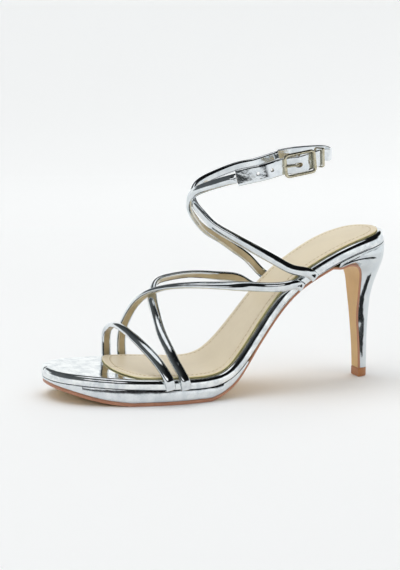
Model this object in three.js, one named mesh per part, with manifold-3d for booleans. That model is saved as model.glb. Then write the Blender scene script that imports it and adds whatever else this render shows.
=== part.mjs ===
// A strappy high-heeled sandal with a thin platform, left shoe, standing on its sole.
// Toe towards -X, heel towards +X, the outer (lateral, buckle) side towards -Y, +Z up, in millimetres.
// Sections run along the shoe from the toe tip (along 0) to the back of the heel seat (along 1).
import * as THREE from 'three';
import { mergeVertices } from 'three/addons/utils/BufferGeometryUtils.js';
import Module from 'manifold-3d';

const wasm = await Module();
wasm.setup();

// Driving dimensions
const length = 224;            // toe tip to back of the footbed, measured level
const halfBall = 40;           // half the width across the ball
const heelHeight = 98.6;       // top of the board above the floor at the back of the heel
const ballHeight = 15.4;       // top of the board above the floor under the ball
const instepHeight = 70;       // reach of the instep straps above the board
const boardThick = 6.3;        // wrapped footbed board at the forefoot and waist
const seatThick = 7.4;         // the same board under the heel
const soleThick = 2.2;         // outsole at the forefoot
const waistSoleThick = 1.4;    // outsole under the waist and down the heel breast
const soleInset = 1.2;         // outsole edge inside the outline of the board
const platformInset = 0.5;     // platform side inside the outline of the board
const insoleThick = 1.0;       // padded sock on the board
const insoleInset = 3.5;       // chrome rim left bare around the sock
const insoleSetback = 40;      // toe tip to front edge of the sock
const insoleFrontDepth = 10;   // how far the rounded front edge of the sock runs back
const strapWidth = 6.2;        // rolled straps
const strapThick = 3.2;
const bandWidth = 7.4;         // flat strap round the back of the ankle
const billetWidth = 10.4;      // flat pierced end that the buckle holds
const flatThick = 1.8;         // thickness of the band and the billet
const tipHeight = 5.8;         // heel tip
const heelInset = 0.3;         // top of the heel inside the outline of the board
const heelCentre = -0.9;       // middle of the heel stem, across the shoe
const wireRadius = 1.0;        // buckle frame
const frameCorner = 2.4;       // bend of its wire
const barRadius = 0.6;         // centre bar of the buckle
const prongRadius = 0.6;
const holeRadius = 0.9;        // punched holes of the billet
const prongHoleRadius = 1.7;   // the hole in use, pulled long by the prong
const holePitch = 8.8;
const buckleReach = 10.8;      // centre bar to either end bar
const buckleAllowance = 0.3;   // billet edge to the inside of the frame
const keeperReach = 19.5;      // centre bar to the keeper loop
const keeperWidth = 2.6;
const keeperThick = 0.8;
const tailReach = 23;          // centre bar to the free end of the billet
const gap = 0.3;               // clearance between neighbouring pieces
const strapGap = 0.45;         // clearance between a strap's end and the curved side of the board

// Outline of the footbed seen from above, as shares of halfBall (lateral is negative)
const outline = [
  { along: 0.000, lateral: 0.200, medial: 0.200 },
  { along: 0.020, lateral: -0.250, medial: 0.570 },
  { along: 0.050, lateral: -0.450, medial: 0.725 },
  { along: 0.100, lateral: -0.650, medial: 0.860 },
  { along: 0.170, lateral: -0.835, medial: 0.955 },
  { along: 0.250, lateral: -0.950, medial: 0.975 },
  { along: 0.330, lateral: -1.000, medial: 0.910 },
  { along: 0.420, lateral: -0.955, medial: 0.745 },
  { along: 0.520, lateral: -0.800, medial: 0.540 },
  { along: 0.620, lateral: -0.685, medial: 0.455 },
  { along: 0.720, lateral: -0.662, medial: 0.485 },
  { along: 0.820, lateral: -0.675, medial: 0.575 },
  { along: 0.900, lateral: -0.640, medial: 0.600 },
  { along: 0.960, lateral: -0.500, medial: 0.500 },
  { along: 0.985, lateral: -0.325, medial: 0.330 },
  { along: 1.000, lateral: 0.000, medial: 0.000 },
];

// Side profile of the board's top, as shares of the rise from ball to heel
const profile = [
  { along: 0.00, rise: 0.045 },
  { along: 0.10, rise: 0.032 },
  { along: 0.20, rise: 0.017 },
  { along: 0.30, rise: 0.006 },
  { along: 0.36, rise: 0.000 },
  { along: 0.42, rise: 0.002 },
  { along: 0.48, rise: 0.053 },
  { along: 0.54, rise: 0.217 },
  { along: 0.60, rise: 0.420 },
  { along: 0.67, rise: 0.622 },
  { along: 0.75, rise: 0.770 },
  { along: 0.85, rise: 0.897 },
  { along: 1.00, rise: 1.000 },
];

// Platform thickness as a share of the room between board and outsole at the ball
const platformTaper = [
  { along: 0.00, share: 0.15 },
  { along: 0.05, share: 0.52 },
  { along: 0.10, share: 0.90 },
  { along: 0.16, share: 1.15 },
  { along: 0.24, share: 1.22 },
  { along: 0.32, share: 1.15 },
  { along: 0.38, share: 1.10 },
  { along: 0.42, share: 1.00 },
  { along: 0.46, share: 0.62 },
  { along: 0.50, share: 0.22 },
  { along: 0.53, share: 0.05 },
  { along: 0.56, share: 0.00 },
];
const platformEnd = 0.515;

// Outer face of the outsole where it leaves the board and runs down the heel breast:
// along as a share of length, up of heelHeight, both half widths of halfBall
const flapStart = 0.785;
const breast = [
  { along: 0.8335, up: 0.761, lateral: -0.605, medial: 0.505 },
  { along: 0.8580, up: 0.771, lateral: -0.560, medial: 0.470 },
  { along: 0.8850, up: 0.767, lateral: -0.485, medial: 0.410 },
  { along: 0.9036, up: 0.745, lateral: -0.405, medial: 0.345 },
  { along: 0.9140, up: 0.705, lateral: -0.335, medial: 0.285 },
  { along: 0.9175, up: 0.655, lateral: -0.290, medial: 0.240 },
  { along: 0.9187, up: 0.587, lateral: -0.253, medial: 0.203 },
  { along: 0.9197, up: 0.514, lateral: -0.213, medial: 0.163 },
  { along: 0.9215, up: 0.422, lateral: -0.168, medial: 0.120 },
  { along: 0.9246, up: 0.339, lateral: -0.156, medial: 0.108 },
  { along: 0.9300, up: 0.200, lateral: -0.151, medial: 0.103 },
];
const breastFoot = { along: 0.9330, lateral: -0.149, medial: 0.101 };

// Back edge of the heel, from the tip up to the board
const heelBack = [
  { up: 0.062, along: 0.9680 },
  { up: 0.200, along: 0.9674 },
  { up: 0.339, along: 0.9683 },
  { up: 0.422, along: 0.9701 },
  { up: 0.514, along: 0.9728 },
  { up: 0.587, along: 0.9763 },
  { up: 0.655, along: 0.9835 },
  { up: 0.717, along: 0.9911 },
  { up: 0.784, along: 0.9991 },
  { up: 0.844, along: 1.0049 },
  { up: 0.900, along: 1.0080 },
];

// Middle lines of the straps: along as a share of length, across of halfBall (lateral is
// negative), over as the height above the board below it, as a share of instepHeight
const toeRoute = [
  { along: 0.281, across: -0.942, over: 0.069 },
  { along: 0.270, across: -0.814, over: 0.140 },
  { along: 0.255, across: -0.586, over: 0.222 },
  { along: 0.241, across: -0.304, over: 0.290 },
  { along: 0.231, across: 0.021, over: 0.334 },
  { along: 0.223, across: 0.341, over: 0.349 },
  { along: 0.220, across: 0.672, over: 0.308 },
  { along: 0.221, across: 0.893, over: 0.208 },
  { along: 0.226, across: 0.995, over: 0.105 },
];
const instepRouteOver = [
  { along: 0.660, across: -0.715, over: 0.034 },
  { along: 0.617, across: -0.617, over: 0.164 },
  { along: 0.534, across: -0.471, over: 0.508 },
  { along: 0.456, across: -0.269, over: 0.724 },
  { along: 0.381, across: 0.002, over: 0.732 },
  { along: 0.324, across: 0.268, over: 0.665 },
  { along: 0.297, across: 0.524, over: 0.561 },
  { along: 0.282, across: 0.792, over: 0.399 },
  { along: 0.274, across: 0.930, over: 0.265 },
  { along: 0.273, across: 1.005, over: 0.120 },
];
const instepRouteUnder = [
  { along: 0.329, across: -0.966, over: 0.055 },
  { along: 0.321, across: -0.849, over: 0.125 },
  { along: 0.313, across: -0.690, over: 0.223 },
  { along: 0.307, across: -0.478, over: 0.328 },
  { along: 0.308, across: -0.251, over: 0.425 },
  { along: 0.316, across: 0.084, over: 0.533 },
  { along: 0.325, across: 0.340, over: 0.632 },
  { along: 0.345, across: 0.493, over: 0.721 },
  { along: 0.386, across: 0.564, over: 0.758 },
  { along: 0.442, across: 0.598, over: 0.758 },
  { along: 0.504, across: 0.599, over: 0.631 },
  { along: 0.557, across: 0.573, over: 0.408 },
  { along: 0.605, across: 0.540, over: 0.185 },
];
const ankleRouteUnder = [
  { along: 0.680, across: -0.670, over: 0.113 },
  { along: 0.642, across: -0.614, over: 0.289 },
  { along: 0.570, across: -0.480, over: 0.694 },
  { along: 0.502, across: -0.280, over: 1.079 },
  { along: 0.471, across: -0.147, over: 1.227 },
  { along: 0.452, across: -0.017, over: 1.333 },
  { along: 0.439, across: 0.110, over: 1.415 },
  { along: 0.436, across: 0.220, over: 1.487 },
  { along: 0.447, across: 0.341, over: 1.552 },
  { along: 0.477, across: 0.474, over: 1.566 },
  { along: 0.518, across: 0.597, over: 1.486 },
  { along: 0.571, across: 0.704, over: 1.323 },
  { along: 0.617, across: 0.757, over: 1.174 },
  { along: 0.660, across: 0.775, over: 1.048 },
  { along: 0.701, across: 0.756, over: 0.976 },
  { along: 0.739, across: 0.692, over: 0.937 },
  { along: 0.778, across: 0.566, over: 0.896 },
  { along: 0.813, across: 0.362, over: 0.861 },
  { along: 0.831, across: 0.184, over: 0.845 },
  { along: 0.836, across: 0.003, over: 0.835 },
  { along: 0.825, across: -0.190, over: 0.838 },
];
const bandStart = { along: 0.735, side: 1 };
const bandReach = [
  { reach: 24.5, out: -11.8 },
  { reach: keeperReach, out: -8.6 },
  { reach: 15.0, out: -6.7 },
  { reach: buckleReach, out: -5.1 },
  { reach: 4.6, out: -2.9 },
  { reach: 1.2, out: -1.9 },
  { reach: 0.0, out: -1.7 },
];
const ankleRouteOver = [
  { along: 0.633, across: 0.558, over: 0.266 },
  { along: 0.585, across: 0.559, over: 0.558 },
  { along: 0.540, across: 0.520, over: 0.832 },
  { along: 0.488, across: 0.445, over: 1.105 },
  { along: 0.455, across: 0.366, over: 1.261 },
  { along: 0.431, across: 0.274, over: 1.387 },
  { along: 0.423, across: 0.140, over: 1.496 },
  { along: 0.425, across: -0.018, over: 1.557 },
  { along: 0.441, across: -0.204, over: 1.600 },
  { along: 0.472, across: -0.405, over: 1.616 },
  { along: 0.504, across: -0.558, over: 1.576 },
  { along: 0.540, across: -0.671, over: 1.479 },
  { along: 0.585, across: -0.756, over: 1.332 },
];
const billetStart = { along: 0.508, side: -1 };
const buckleSpot = { along: 0.685, across: -0.763, over: 1.052 };

// Natural cubic spline through the points (xs, ys)
function spline(xs, ys) {
  const last = xs.length - 1;
  const bend = new Array(last + 1).fill(0);
  const carry = new Array(last + 1).fill(0);
  for (let i = 1; i < last; i++) {
    const span = xs[i + 1] - xs[i - 1];
    const share = (xs[i] - xs[i - 1]) / span;
    const pivot = share * bend[i - 1] + 2;
    const ahead = (ys[i + 1] - ys[i]) / (xs[i + 1] - xs[i]);
    const behind = (ys[i] - ys[i - 1]) / (xs[i] - xs[i - 1]);
    bend[i] = (share - 1) / pivot;
    carry[i] = ((6 * (ahead - behind)) / span - share * carry[i - 1]) / pivot;
  }
  for (let i = last - 1; i > 0; i--) bend[i] = bend[i] * bend[i + 1] + carry[i];
  bend[0] = 0;
  return (x) => {
    let i = 1;
    while (i < last && x > xs[i]) i++;
    const width = xs[i] - xs[i - 1];
    const b = THREE.MathUtils.clamp((x - xs[i - 1]) / width, 0, 1);
    const a = 1 - b;
    const curl = (a ** 3 - a) * bend[i - 1] + (b ** 3 - b) * bend[i];
    return a * ys[i - 1] + b * ys[i] + (curl * width * width) / 6;
  };
}

const column = (table, name, scale = 1) => table.map((row) => row[name] * scale);
const ease = (low, high, value) => THREE.MathUtils.smoothstep(value, low, high);
const mix = THREE.MathUtils.lerp;
const evenly = (count, from = 0, to = 1) =>
  Array.from({ length: count + 1 }, (_, i) => mix(from, to, i / count));

// A turn of 0 to 1 counts along the shoe, crowded at both ends, so that the outline stays
// smooth round the toe and the heel, where it turns square to the shoe
const turnAt = (along) => Math.acos(1 - 2 * along) / Math.PI;
const outlineTurns = outline.map((row) => turnAt(row.along));
const outlineSide = {
  [-1]: spline(outlineTurns, column(outline, 'lateral', halfBall)),
  [1]: spline(outlineTurns, column(outline, 'medial', halfBall)),
};

// Point of the outline on one side (-1 lateral, 1 medial), moved inwards by inset, as [x, y]
function edge(side, turn, inset) {
  const step = 1e-4;
  const before = Math.max(turn - step, 0);
  const after = Math.min(turn + step, 1);
  const dy = (outlineSide[side](after) - outlineSide[side](before)) / (after - before);
  const dx = (length * Math.PI * Math.sin(Math.PI * turn)) / 2;
  const run = Math.hypot(dx, dy);
  const x = (length * (1 - Math.cos(Math.PI * turn))) / 2;
  const y = outlineSide[side](turn);
  return [x + (side * dy * inset) / run, y - (side * dx * inset) / run];
}

const rise = spline(column(profile, 'along'), column(profile, 'rise'));
const boardTop = (x) => ballHeight + (heelHeight - ballHeight) * rise(x / length);
const tilt = (x) => Math.atan2(boardTop(x + 0.1) - boardTop(x - 0.1), 0.2);

// Point at x on the board's top, sunk by depth square to the board and no lower than floor
function onBoard(x, y, depth, floor = 0) {
  const angle = tilt(x);
  const z = boardTop(x) - Math.cos(angle) * depth;
  return new THREE.Vector3(x + Math.sin(angle) * depth, y, Math.max(z, floor));
}

// Depths of the layers below the board's top
const taper = spline(column(platformTaper, 'along'), column(platformTaper, 'share'));
const platformRoom = ballHeight - boardThick - soleThick - gap;
const boardDepth = (x) => mix(boardThick, seatThick, ease(0.6, 0.78, x / length));
const soleTopDepth = (x) => {
  const share = x / length < 0.56 ? Math.max(taper(x / length), 0) : 0;
  return boardDepth(x) + gap + share * platformRoom;
};
const soleDepth = (x) => mix(soleThick, waistSoleThick, ease(0.4, 0.52, x / length));

// Collects quads, drops those that have shrunk to nothing and gives one closed geometry
class Skin {
  corners = [];

  triangle(a, b, c) {
    const key = (p) => p.toArray().map((v) => Math.round(v * 1e4)).join();
    if (new Set([key(a), key(b), key(c)]).size < 3) return;
    for (const p of [a, b, c]) this.corners.push(...p.toArray());
  }

  quad(a, b, c, d) {
    this.triangle(a, b, c);
    this.triangle(a, c, d);
  }

  geometry() {
    const loose = new THREE.BufferGeometry();
    loose.setAttribute('position', new THREE.Float32BufferAttribute(this.corners, 3));
    return mergeVertices(loose, 1e-4);
  }
}

// A slab lies between two sides that run along the shoe. levels go from the bottom up; each
// is a list of stations, and each station a pair of points, lateral then medial
function slab(levels) {
  const skin = new Skin();
  const last = levels[0].length - 1;
  const top = levels.length - 1;
  for (let i = 0; i < last; i++) {
    const [bottomNow, bottomNext] = [levels[0][i], levels[0][i + 1]];
    const [topNow, topNext] = [levels[top][i], levels[top][i + 1]];
    skin.quad(bottomNow[0], bottomNow[1], bottomNext[1], bottomNext[0]);
    skin.quad(topNow[0], topNext[0], topNext[1], topNow[1]);
    for (let k = 0; k < top; k++) {
      const [low, high] = [levels[k], levels[k + 1]];
      skin.quad(low[i][0], low[i + 1][0], high[i + 1][0], high[i][0]);
      skin.quad(low[i][1], high[i][1], high[i + 1][1], low[i + 1][1]);
    }
  }
  for (let k = 0; k < top; k++) {
    const [low, high] = [levels[k], levels[k + 1]];
    skin.quad(low[0][0], high[0][0], high[0][1], low[0][1]);
    skin.quad(low[last][0], low[last][1], high[last][1], high[last][0]);
  }
  return skin.geometry();
}

// All layers share these stations, so that their facets lie parallel. A layer that starts or
// ends part way along the shoe has a station of its own there
const stationCount = 42;
const footTurns = evenly(stationCount);
const turnsBetween = (from, to) => {
  const room = 0.3 / stationCount;
  return [from, ...footTurns.filter((turn) => turn > from + room && turn < to - room), to];
};

// One level of a slab that follows the footbed: inset from the outline, depth below its top
const footLevel = (turns, inset, depth, floor = 0) =>
  turns.map((turn) => [-1, 1].map((side) => {
    const [x, y] = edge(side, turn, inset);
    return onBoard(x, y, depth(x), floor);
  }));

// The board: a flat underside, upright sides and a rounded rim, all wrapped in one skin
function footbedBoard() {
  const rim = [
    { inset: 1.2, share: 1.00 },
    { inset: 0.35, share: 0.94 },
    { inset: 0.0, share: 0.80 },
    { inset: 0.0, share: 0.38 },
    { inset: 0.45, share: 0.17 },
    { inset: 1.4, share: 0.04 },
    { inset: 2.7, share: 0.00 },
  ];
  return slab(rim.map((row) =>
    footLevel(footTurns, row.inset, (x) => row.share * boardDepth(x))));
}

function platform() {
  const side = [
    { inset: platformInset + 0.7, share: 1.0 },
    { inset: platformInset, share: 0.85 },
    { inset: platformInset, share: 0.12 },
    { inset: platformInset + 0.6, share: 0.0 },
  ];
  const turns = turnsBetween(0, turnAt(platformEnd));
  return slab(side.map((row) => {
    const floor = row.share < 1 ? 0 : soleThick + gap;
    const depth = (x) => mix(boardDepth(x) + gap, soleTopDepth(x) - gap, row.share);
    return footLevel(turns, row.inset, depth, floor);
  }));
}

function insole() {
  const sides = [
    { inset: insoleInset + 0.25, up: 0.0 },
    { inset: insoleInset, up: 0.2 },
    { inset: insoleInset, up: 0.65 },
    { inset: insoleInset + 0.6, up: 1.0 },
  ];
  const middle = edge(1, 0, 0)[1] - 0.25 * halfBall;
  const frontTurns = evenly(7).map((share) => (share * Math.PI) / 2);
  const backFrom = turnAt((insoleSetback + insoleFrontDepth) / length);
  const backTurns = turnsBetween(backFrom, 1).slice(1);
  return slab(sides.map((row) => {
    const front = insoleSetback + row.inset - insoleInset;
    const depth = -gap - row.up * insoleThick;
    const rounded = frontTurns.map((angle) => [-1, 1].map((side) => {
      const x = front + insoleFrontDepth * (1 - Math.cos(angle));
      const [edgeX, edgeY] = edge(side, turnAt(x / length), row.inset);
      return onBoard(mix(x, edgeX, Math.sin(angle)), mix(middle, edgeY, Math.sin(angle)), depth);
    }));
    return [...rounded, ...footLevel(backTurns, row.inset, () => depth)];
  }));
}

// A smooth line through points, measured by its run in millimetres
function smoothLine(points) {
  const runs = [0];
  for (let i = 1; i < points.length; i++) {
    runs.push(runs[i - 1] + points[i].distanceTo(points[i - 1]));
  }
  const axes = ['x', 'y', 'z'].map((axis) => spline(runs, points.map((p) => p[axis])));
  const end = runs.at(-1);
  const at = (run) => new THREE.Vector3(...axes.map((axis) => axis(run)));
  const heading = (run) =>
    at(Math.min(run + 0.1, end)).sub(at(Math.max(run - 0.1, 0))).normalize();
  return { runs, end, at, heading };
}

// Outer face of the sole from under the waist, over the flap's bend, down to the heel tip.
// The line starts a little way under the board, so that flap and sole join smoothly
const heelFoot = tipHeight + gap;
const flapLead = evenly(3, flapStart - 0.09, flapStart);
const flapLine = smoothLine([
  ...flapLead.map((along) => {
    const x = along * length;
    return onBoard(x, 0, soleTopDepth(x) + soleDepth(x));
  }),
  ...breast.map((row) => new THREE.Vector3(row.along * length, 0, row.up * heelHeight)),
  new THREE.Vector3(breastFoot.along * length, 0, heelFoot),
]);
const flapHalf = {};
for (const [side, name] of [[-1, 'lateral'], [1, 'medial']]) {
  flapHalf[side] = spline(flapLine.runs, [
    ...flapLead.map((along) => edge(side, turnAt(along), soleInset)[1]),
    ...column([...breast, breastFoot], name, halfBall),
  ]);
}
const flapFrom = flapLine.runs[flapLead.length - 1];

// The heel starts one station behind the sole, and shares the stations below it
const flapRuns = evenly(20, flapFrom, flapLine.end).slice(1);

// Point of the flap at one side edge, lifted square off its outer face
function onFlap(run, side, inset, lift) {
  const heading = flapLine.heading(run);
  const p = flapLine.at(run);
  const y = flapHalf[side](run) - side * inset;
  return new THREE.Vector3(p.x - heading.z * lift, y, p.z + heading.x * lift);
}

function outsole() {
  const sides = [
    { inset: 0.4, up: 0.0 },
    { inset: 0.0, up: 0.2 },
    { inset: 0.0, up: 0.85 },
    { inset: 0.25, up: 1.0 },
  ];
  const turns = turnsBetween(0, turnAt(flapStart));
  return slab(sides.map((row) => {
    const depth = (x) => soleTopDepth(x) + (1 - row.up) * soleDepth(x);
    return [
      ...footLevel(turns, soleInset + row.inset, depth, row.up * soleThick),
      ...flapRuns.map((run) =>
        [-1, 1].map((side) => onFlap(run, side, row.inset, row.up * waistSoleThick))),
    ];
  }));
}

// The heel: its top follows the underside of the board, its front the back of the flap, and
// each section below runs round from the flap to the back edge in a deepening D
function heel() {
  const stations = evenly(10).map((share) => (share * Math.PI) / 2);
  const firstRun = flapRuns[0];
  const behindFlap = waistSoleThick + gap;
  const frontX = onFlap(firstRun, 1, 0, behindFlap).x;
  const seatDepth = (x) => boardDepth(x) + gap;
  const seatX = frontX - Math.sin(tilt(frontX)) * seatDepth(frontX);
  const seat = footLevel(evenly(10, turnAt(seatX / length), 1), heelInset, seatDepth);
  const seatBack = seat.at(-1)[0];
  const backAlong = spline(column(heelBack, 'up'), column(heelBack, 'along'));
  const sections = flapRuns.map((run) => {
    const share = (run - firstRun) / (flapLine.end - firstRun);
    const fit = 1 - ease(0, 0.4, share);
    const belly = 0.16 * Math.sin(Math.PI * Math.min(share / 0.45, 1));
    const backZ = mix(seatBack.z - 0.8, heelFoot, share);
    const backX = backAlong(backZ / heelHeight) * length;
    const backY = mix(seatBack.y, heelCentre, ease(0, 0.4, share));
    return stations.map((angle, j) => [-1, 1].map((side, s) => {
      const front = onFlap(run, side, 0, behindFlap);
      const seatFront = seat[0][s];
      const seatHere = seat[j][s];
      const seatShareX = (seatHere.x - seatFront.x) / (seatBack.x - seatFront.x);
      const seatShareY = (seatHere.y - seatBack.y) / (seatFront.y - seatBack.y);
      const shareX = mix(Math.sin(angle), seatShareX, fit);
      const shareY = mix(Math.cos(angle), seatShareY, fit) + belly * Math.sin(2 * angle);
      const sag = seatHere.z - mix(seatFront.z, seatBack.z, seatShareX);
      return new THREE.Vector3(
        mix(front.x, backX, shareX),
        mix(backY, front.y, shareY),
        mix(front.z, backZ, shareX) + fit * sag,
      );
    }));
  });
  return slab([...sections.reverse(), seat]);
}

function heelTip() {
  const sides = [
    { inset: 0.5, z: 0 },
    { inset: 0, z: 0.6 },
    { inset: 0, z: tipHeight - 0.4 },
    { inset: 0.3, z: tipHeight },
  ];
  const stations = evenly(8).map((share) => (share * Math.PI) / 2);
  const frontX = breastFoot.along * length;
  const backX = heelBack[0].along * length;
  return slab(sides.map((row) => stations.map((angle) => [-1, 1].map((side) => {
    const half = Math.abs(flapHalf[side](flapLine.end) - heelCentre) - row.inset;
    return new THREE.Vector3(
      mix(frontX + row.inset, backX - row.inset, Math.sin(angle)),
      heelCentre + side * half * Math.cos(angle),
      row.z,
    );
  }))));
}

// Straps
const routePoint = (row) => {
  const x = row.along * length;
  return new THREE.Vector3(x, row.across * halfBall, boardTop(x) + row.over * instepHeight);
};

// Middle of a strap where it lies flat against the side of the board, share of the way down
function beside(side, along, share) {
  const [x, y] = edge(side, turnAt(along), -strapGap - strapThick / 2);
  return onBoard(x, y, share * boardDepth(x));
}

// The way that the outer face of a strap looks, before it is made square to the strap
const overFoot = (lift) => (p) =>
  new THREE.Vector3(0, p.y, Math.max(p.z - boardTop(p.x) - lift * instepHeight, 0));
const legAlong = 0.66;
const roundLeg = (p) => {
  const height = (p.z - boardTop(p.x)) / instepHeight;
  return new THREE.Vector3((p.x - legAlong * length) * ease(0.1, 1, height), p.y, 0);
};

const squareTo = (heading, facing) =>
  facing.addScaledVector(heading, -facing.dot(heading)).normalize();

// Cross-sections, as shares of width and thickness: across, then out
const rolled = [
  [-0.5, -0.25], [-0.4, -0.5], [0.4, -0.5], [0.5, -0.25],
  [0.46, 0.12], [0.28, 0.42], [0, 0.5], [-0.28, 0.42], [-0.46, 0.12],
];
const flat = [
  [-0.5, -0.22], [-0.47, -0.5], [0.47, -0.5], [0.5, -0.22],
  [0.5, 0.22], [0.47, 0.5], [-0.47, 0.5], [-0.5, 0.22],
];
const round = evenly(8).slice(0, 8).map((share) => {
  const angle = 2 * Math.PI * share;
  return [Math.cos(angle) / 2, Math.sin(angle) / 2];
});

// Carries a section along part of a line, its outer face turned by facing
function sweep(line, from, to, steps, section, width, thick, facing) {
  const skin = new Skin();
  const rings = evenly(steps, from, to).map((run) => {
    const p = line.at(run);
    const heading = line.heading(run);
    const out = squareTo(heading, facing(p));
    const across = heading.clone().cross(out);
    return section.map(([a, b]) =>
      p.clone().addScaledVector(across, a * width).addScaledVector(out, b * thick));
  });
  const count = section.length;
  for (let i = 0; i < steps; i++) {
    for (let j = 0; j < count; j++) {
      const next = (j + 1) % count;
      skin.quad(rings[i][j], rings[i + 1][j], rings[i + 1][next], rings[i][next]);
    }
  }
  for (let j = 1; j < count - 1; j++) {
    skin.triangle(rings[0][0], rings[0][j], rings[0][j + 1]);
    skin.triangle(rings[steps][0], rings[steps][j + 1], rings[steps][j]);
  }
  return skin.geometry();
}

const strap = (line, from, to, steps, facing) =>
  sweep(line, from, to, steps, rolled, strapWidth, strapThick, facing);

// Joining and cutting
function solid(geometry) {
  const bare = new THREE.BufferGeometry();
  const loose = geometry.index ? geometry.toNonIndexed() : geometry;
  bare.setAttribute('position', loose.getAttribute('position'));
  const merged = mergeVertices(bare, 1e-4);
  return new wasm.Manifold(new wasm.Mesh({
    numProp: 3,
    vertProperties: new Float32Array(merged.getAttribute('position').array),
    triVerts: new Uint32Array(merged.index.array),
  }));
}

function surface(body) {
  const mesh = body.getMesh();
  const geometry = new THREE.BufferGeometry();
  geometry.setAttribute('position', new THREE.Float32BufferAttribute(mesh.vertProperties, 3));
  geometry.setIndex(new THREE.BufferAttribute(new Uint32Array(mesh.triVerts), 1));
  return geometry;
}

// Toe strap: from the outer to the inner side of the board over the toes
const low = 0.93;
const high = 0.3;
const toeLine = smoothLine([
  beside(-1, 0.299, low),
  beside(-1, 0.294, high),
  ...toeRoute.map(routePoint),
  beside(1, 0.230, high),
  beside(1, 0.234, low),
]);
const toeStrap = () => strap(toeLine, 0, toeLine.end, 28, overFoot(0.12));

// Instep straps: one runs from the outer waist to the inner forefoot, over the other, which
// runs from the outer forefoot to the inner waist
const overLine = smoothLine([
  beside(-1, 0.690, low),
  beside(-1, 0.682, high),
  ...instepRouteOver.map(routePoint),
  beside(1, 0.275, high),
  beside(1, 0.278, low),
]);
const underLine = smoothLine([
  beside(-1, 0.341, low),
  beside(-1, 0.337, high),
  ...instepRouteUnder.map(routePoint),
  beside(1, 0.640, high),
  beside(1, 0.648, low),
]);
function instepStraps() {
  const over = solid(strap(overLine, 0, overLine.end, 36, overFoot(0.4)));
  const under = solid(strap(underLine, 0, underLine.end, 36, overFoot(0.4)));
  return surface(over.add(under));
}

// The buckle lies flat against the outer side of the ankle: reach counts back from its centre
// bar, out away from the leg and up along the bar
const buckleCentre = routePoint(buckleSpot);
const buckleHeading = routePoint({ along: 0.736, across: -0.687, over: 0.964 })
  .sub(routePoint({ along: 0.631, across: -0.783, over: 1.193 }))
  .normalize();
const buckleOut = squareTo(buckleHeading, roundLeg(buckleCentre));
const buckleUp = buckleOut.clone().cross(buckleHeading);
const atBuckle = (reach, out, up = 0) => buckleCentre.clone()
  .addScaledVector(buckleHeading, reach)
  .addScaledVector(buckleOut, out)
  .addScaledVector(buckleUp, up);

// Ankle straps: one starts at the inner waist, crosses the front of the ankle and carries the
// billet on the outer side; the other starts at the outer waist, passes under it and carries
// the flat band round the back of the ankle to the centre bar of the buckle
const billetRise = flatThick / 2 + gap;
const eyeThick = 0.8;
const barOut = -0.8;
const eyeRadius = barRadius + gap + eyeThick;
const billetTop = barOut + eyeRadius + billetRise;
const billetReach = [
  { reach: -buckleReach, out: -wireRadius - billetRise },
  { reach: -buckleReach / 2, out: 0.1 },
  { reach: 0, out: billetTop },
  { reach: buckleReach / 2, out: 0.0 },
  { reach: buckleReach, out: -wireRadius - billetRise - 0.1 },
  { reach: 15.0, out: -4.0 },
  { reach: keeperReach, out: -6.1 },
  { reach: tailReach, out: -8.0 },
];
const ankleOverLine = smoothLine([
  beside(1, 0.682, low),
  beside(1, 0.676, high),
  ...ankleRouteOver.map(routePoint),
  ...billetReach.map((row) => atBuckle(row.reach, row.out)),
]);
const ankleUnderLine = smoothLine([
  beside(-1, 0.731, low),
  beside(-1, 0.724, high),
  ...ankleRouteUnder.map(routePoint),
  ...bandReach.map((row) => atBuckle(row.reach, row.out)),
]);

// Where billet and band pass through the buckle they lie parallel to it
const throughBuckle = (p) => {
  const away = ease(buckleReach, 1.5 * buckleReach, p.distanceTo(buckleCentre));
  return buckleOut.clone().lerp(roundLeg(p).normalize(), away);
};

// Run at which a line passes a place along the shoe on one side of it
function runAt(line, place) {
  const runs = evenly(600, 0, line.end).filter((run) => {
    const p = line.at(run);
    return p.y * place.side > 0.2 * halfBall && p.z > heelHeight;
  });
  const miss = (run) => Math.abs(line.at(run).x - place.along * length);
  return runs.reduce((best, run) => (miss(run) < miss(best) ? run : best));
}
const billetFrom = runAt(ankleOverLine, billetStart);
const bandFrom = runAt(ankleUnderLine, bandStart);

function ankleStraps() {
  const over = solid(strap(ankleOverLine, 0, billetFrom - gap, 34, roundLeg));
  const under = solid(strap(ankleUnderLine, 0, bandFrom - gap, 40, roundLeg));
  return surface(over.add(under));
}

// A cylinder set in the buckle: along its bar, or square to the strap
function rod(radius, span, centre, [right, axis, back], sides = 12) {
  const geometry = new THREE.CylinderGeometry(radius, radius, span, sides);
  const place = new THREE.Matrix4().makeBasis(right, axis, back).setPosition(centre);
  return solid(geometry.applyMatrix4(place));
}
const alongBar = [buckleHeading, buckleUp, buckleOut];

// The billet: flat, with a row of punched holes, the one in use pulled long by the prong
function billet() {
  const line = ankleOverLine;
  let body = solid(
    sweep(line, billetFrom, line.end, 34, flat, billetWidth, flatThick, throughBuckle));
  const centreRow = billetReach.findIndex((row) => row.reach === 0);
  const centreRun = line.runs.at(centreRow - billetReach.length);
  for (const place of [-3, -2, -1, 0, 1]) {
    const reach = -2.2 + place * holePitch;
    const heading = line.heading(centreRun + reach);
    const p = place ? line.at(centreRun + reach) : atBuckle(reach, billetTop - 0.7);
    const out = place ? squareTo(heading, throughBuckle(p)) : buckleOut;
    const along = place ? heading : buckleHeading;
    const axes = [out.clone().cross(along), out, along];
    const radius = place ? holeRadius : prongHoleRadius;
    body = body.subtract(rod(radius, 3 * flatThick, p, axes, 10));
  }
  return surface(body);
}

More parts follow.
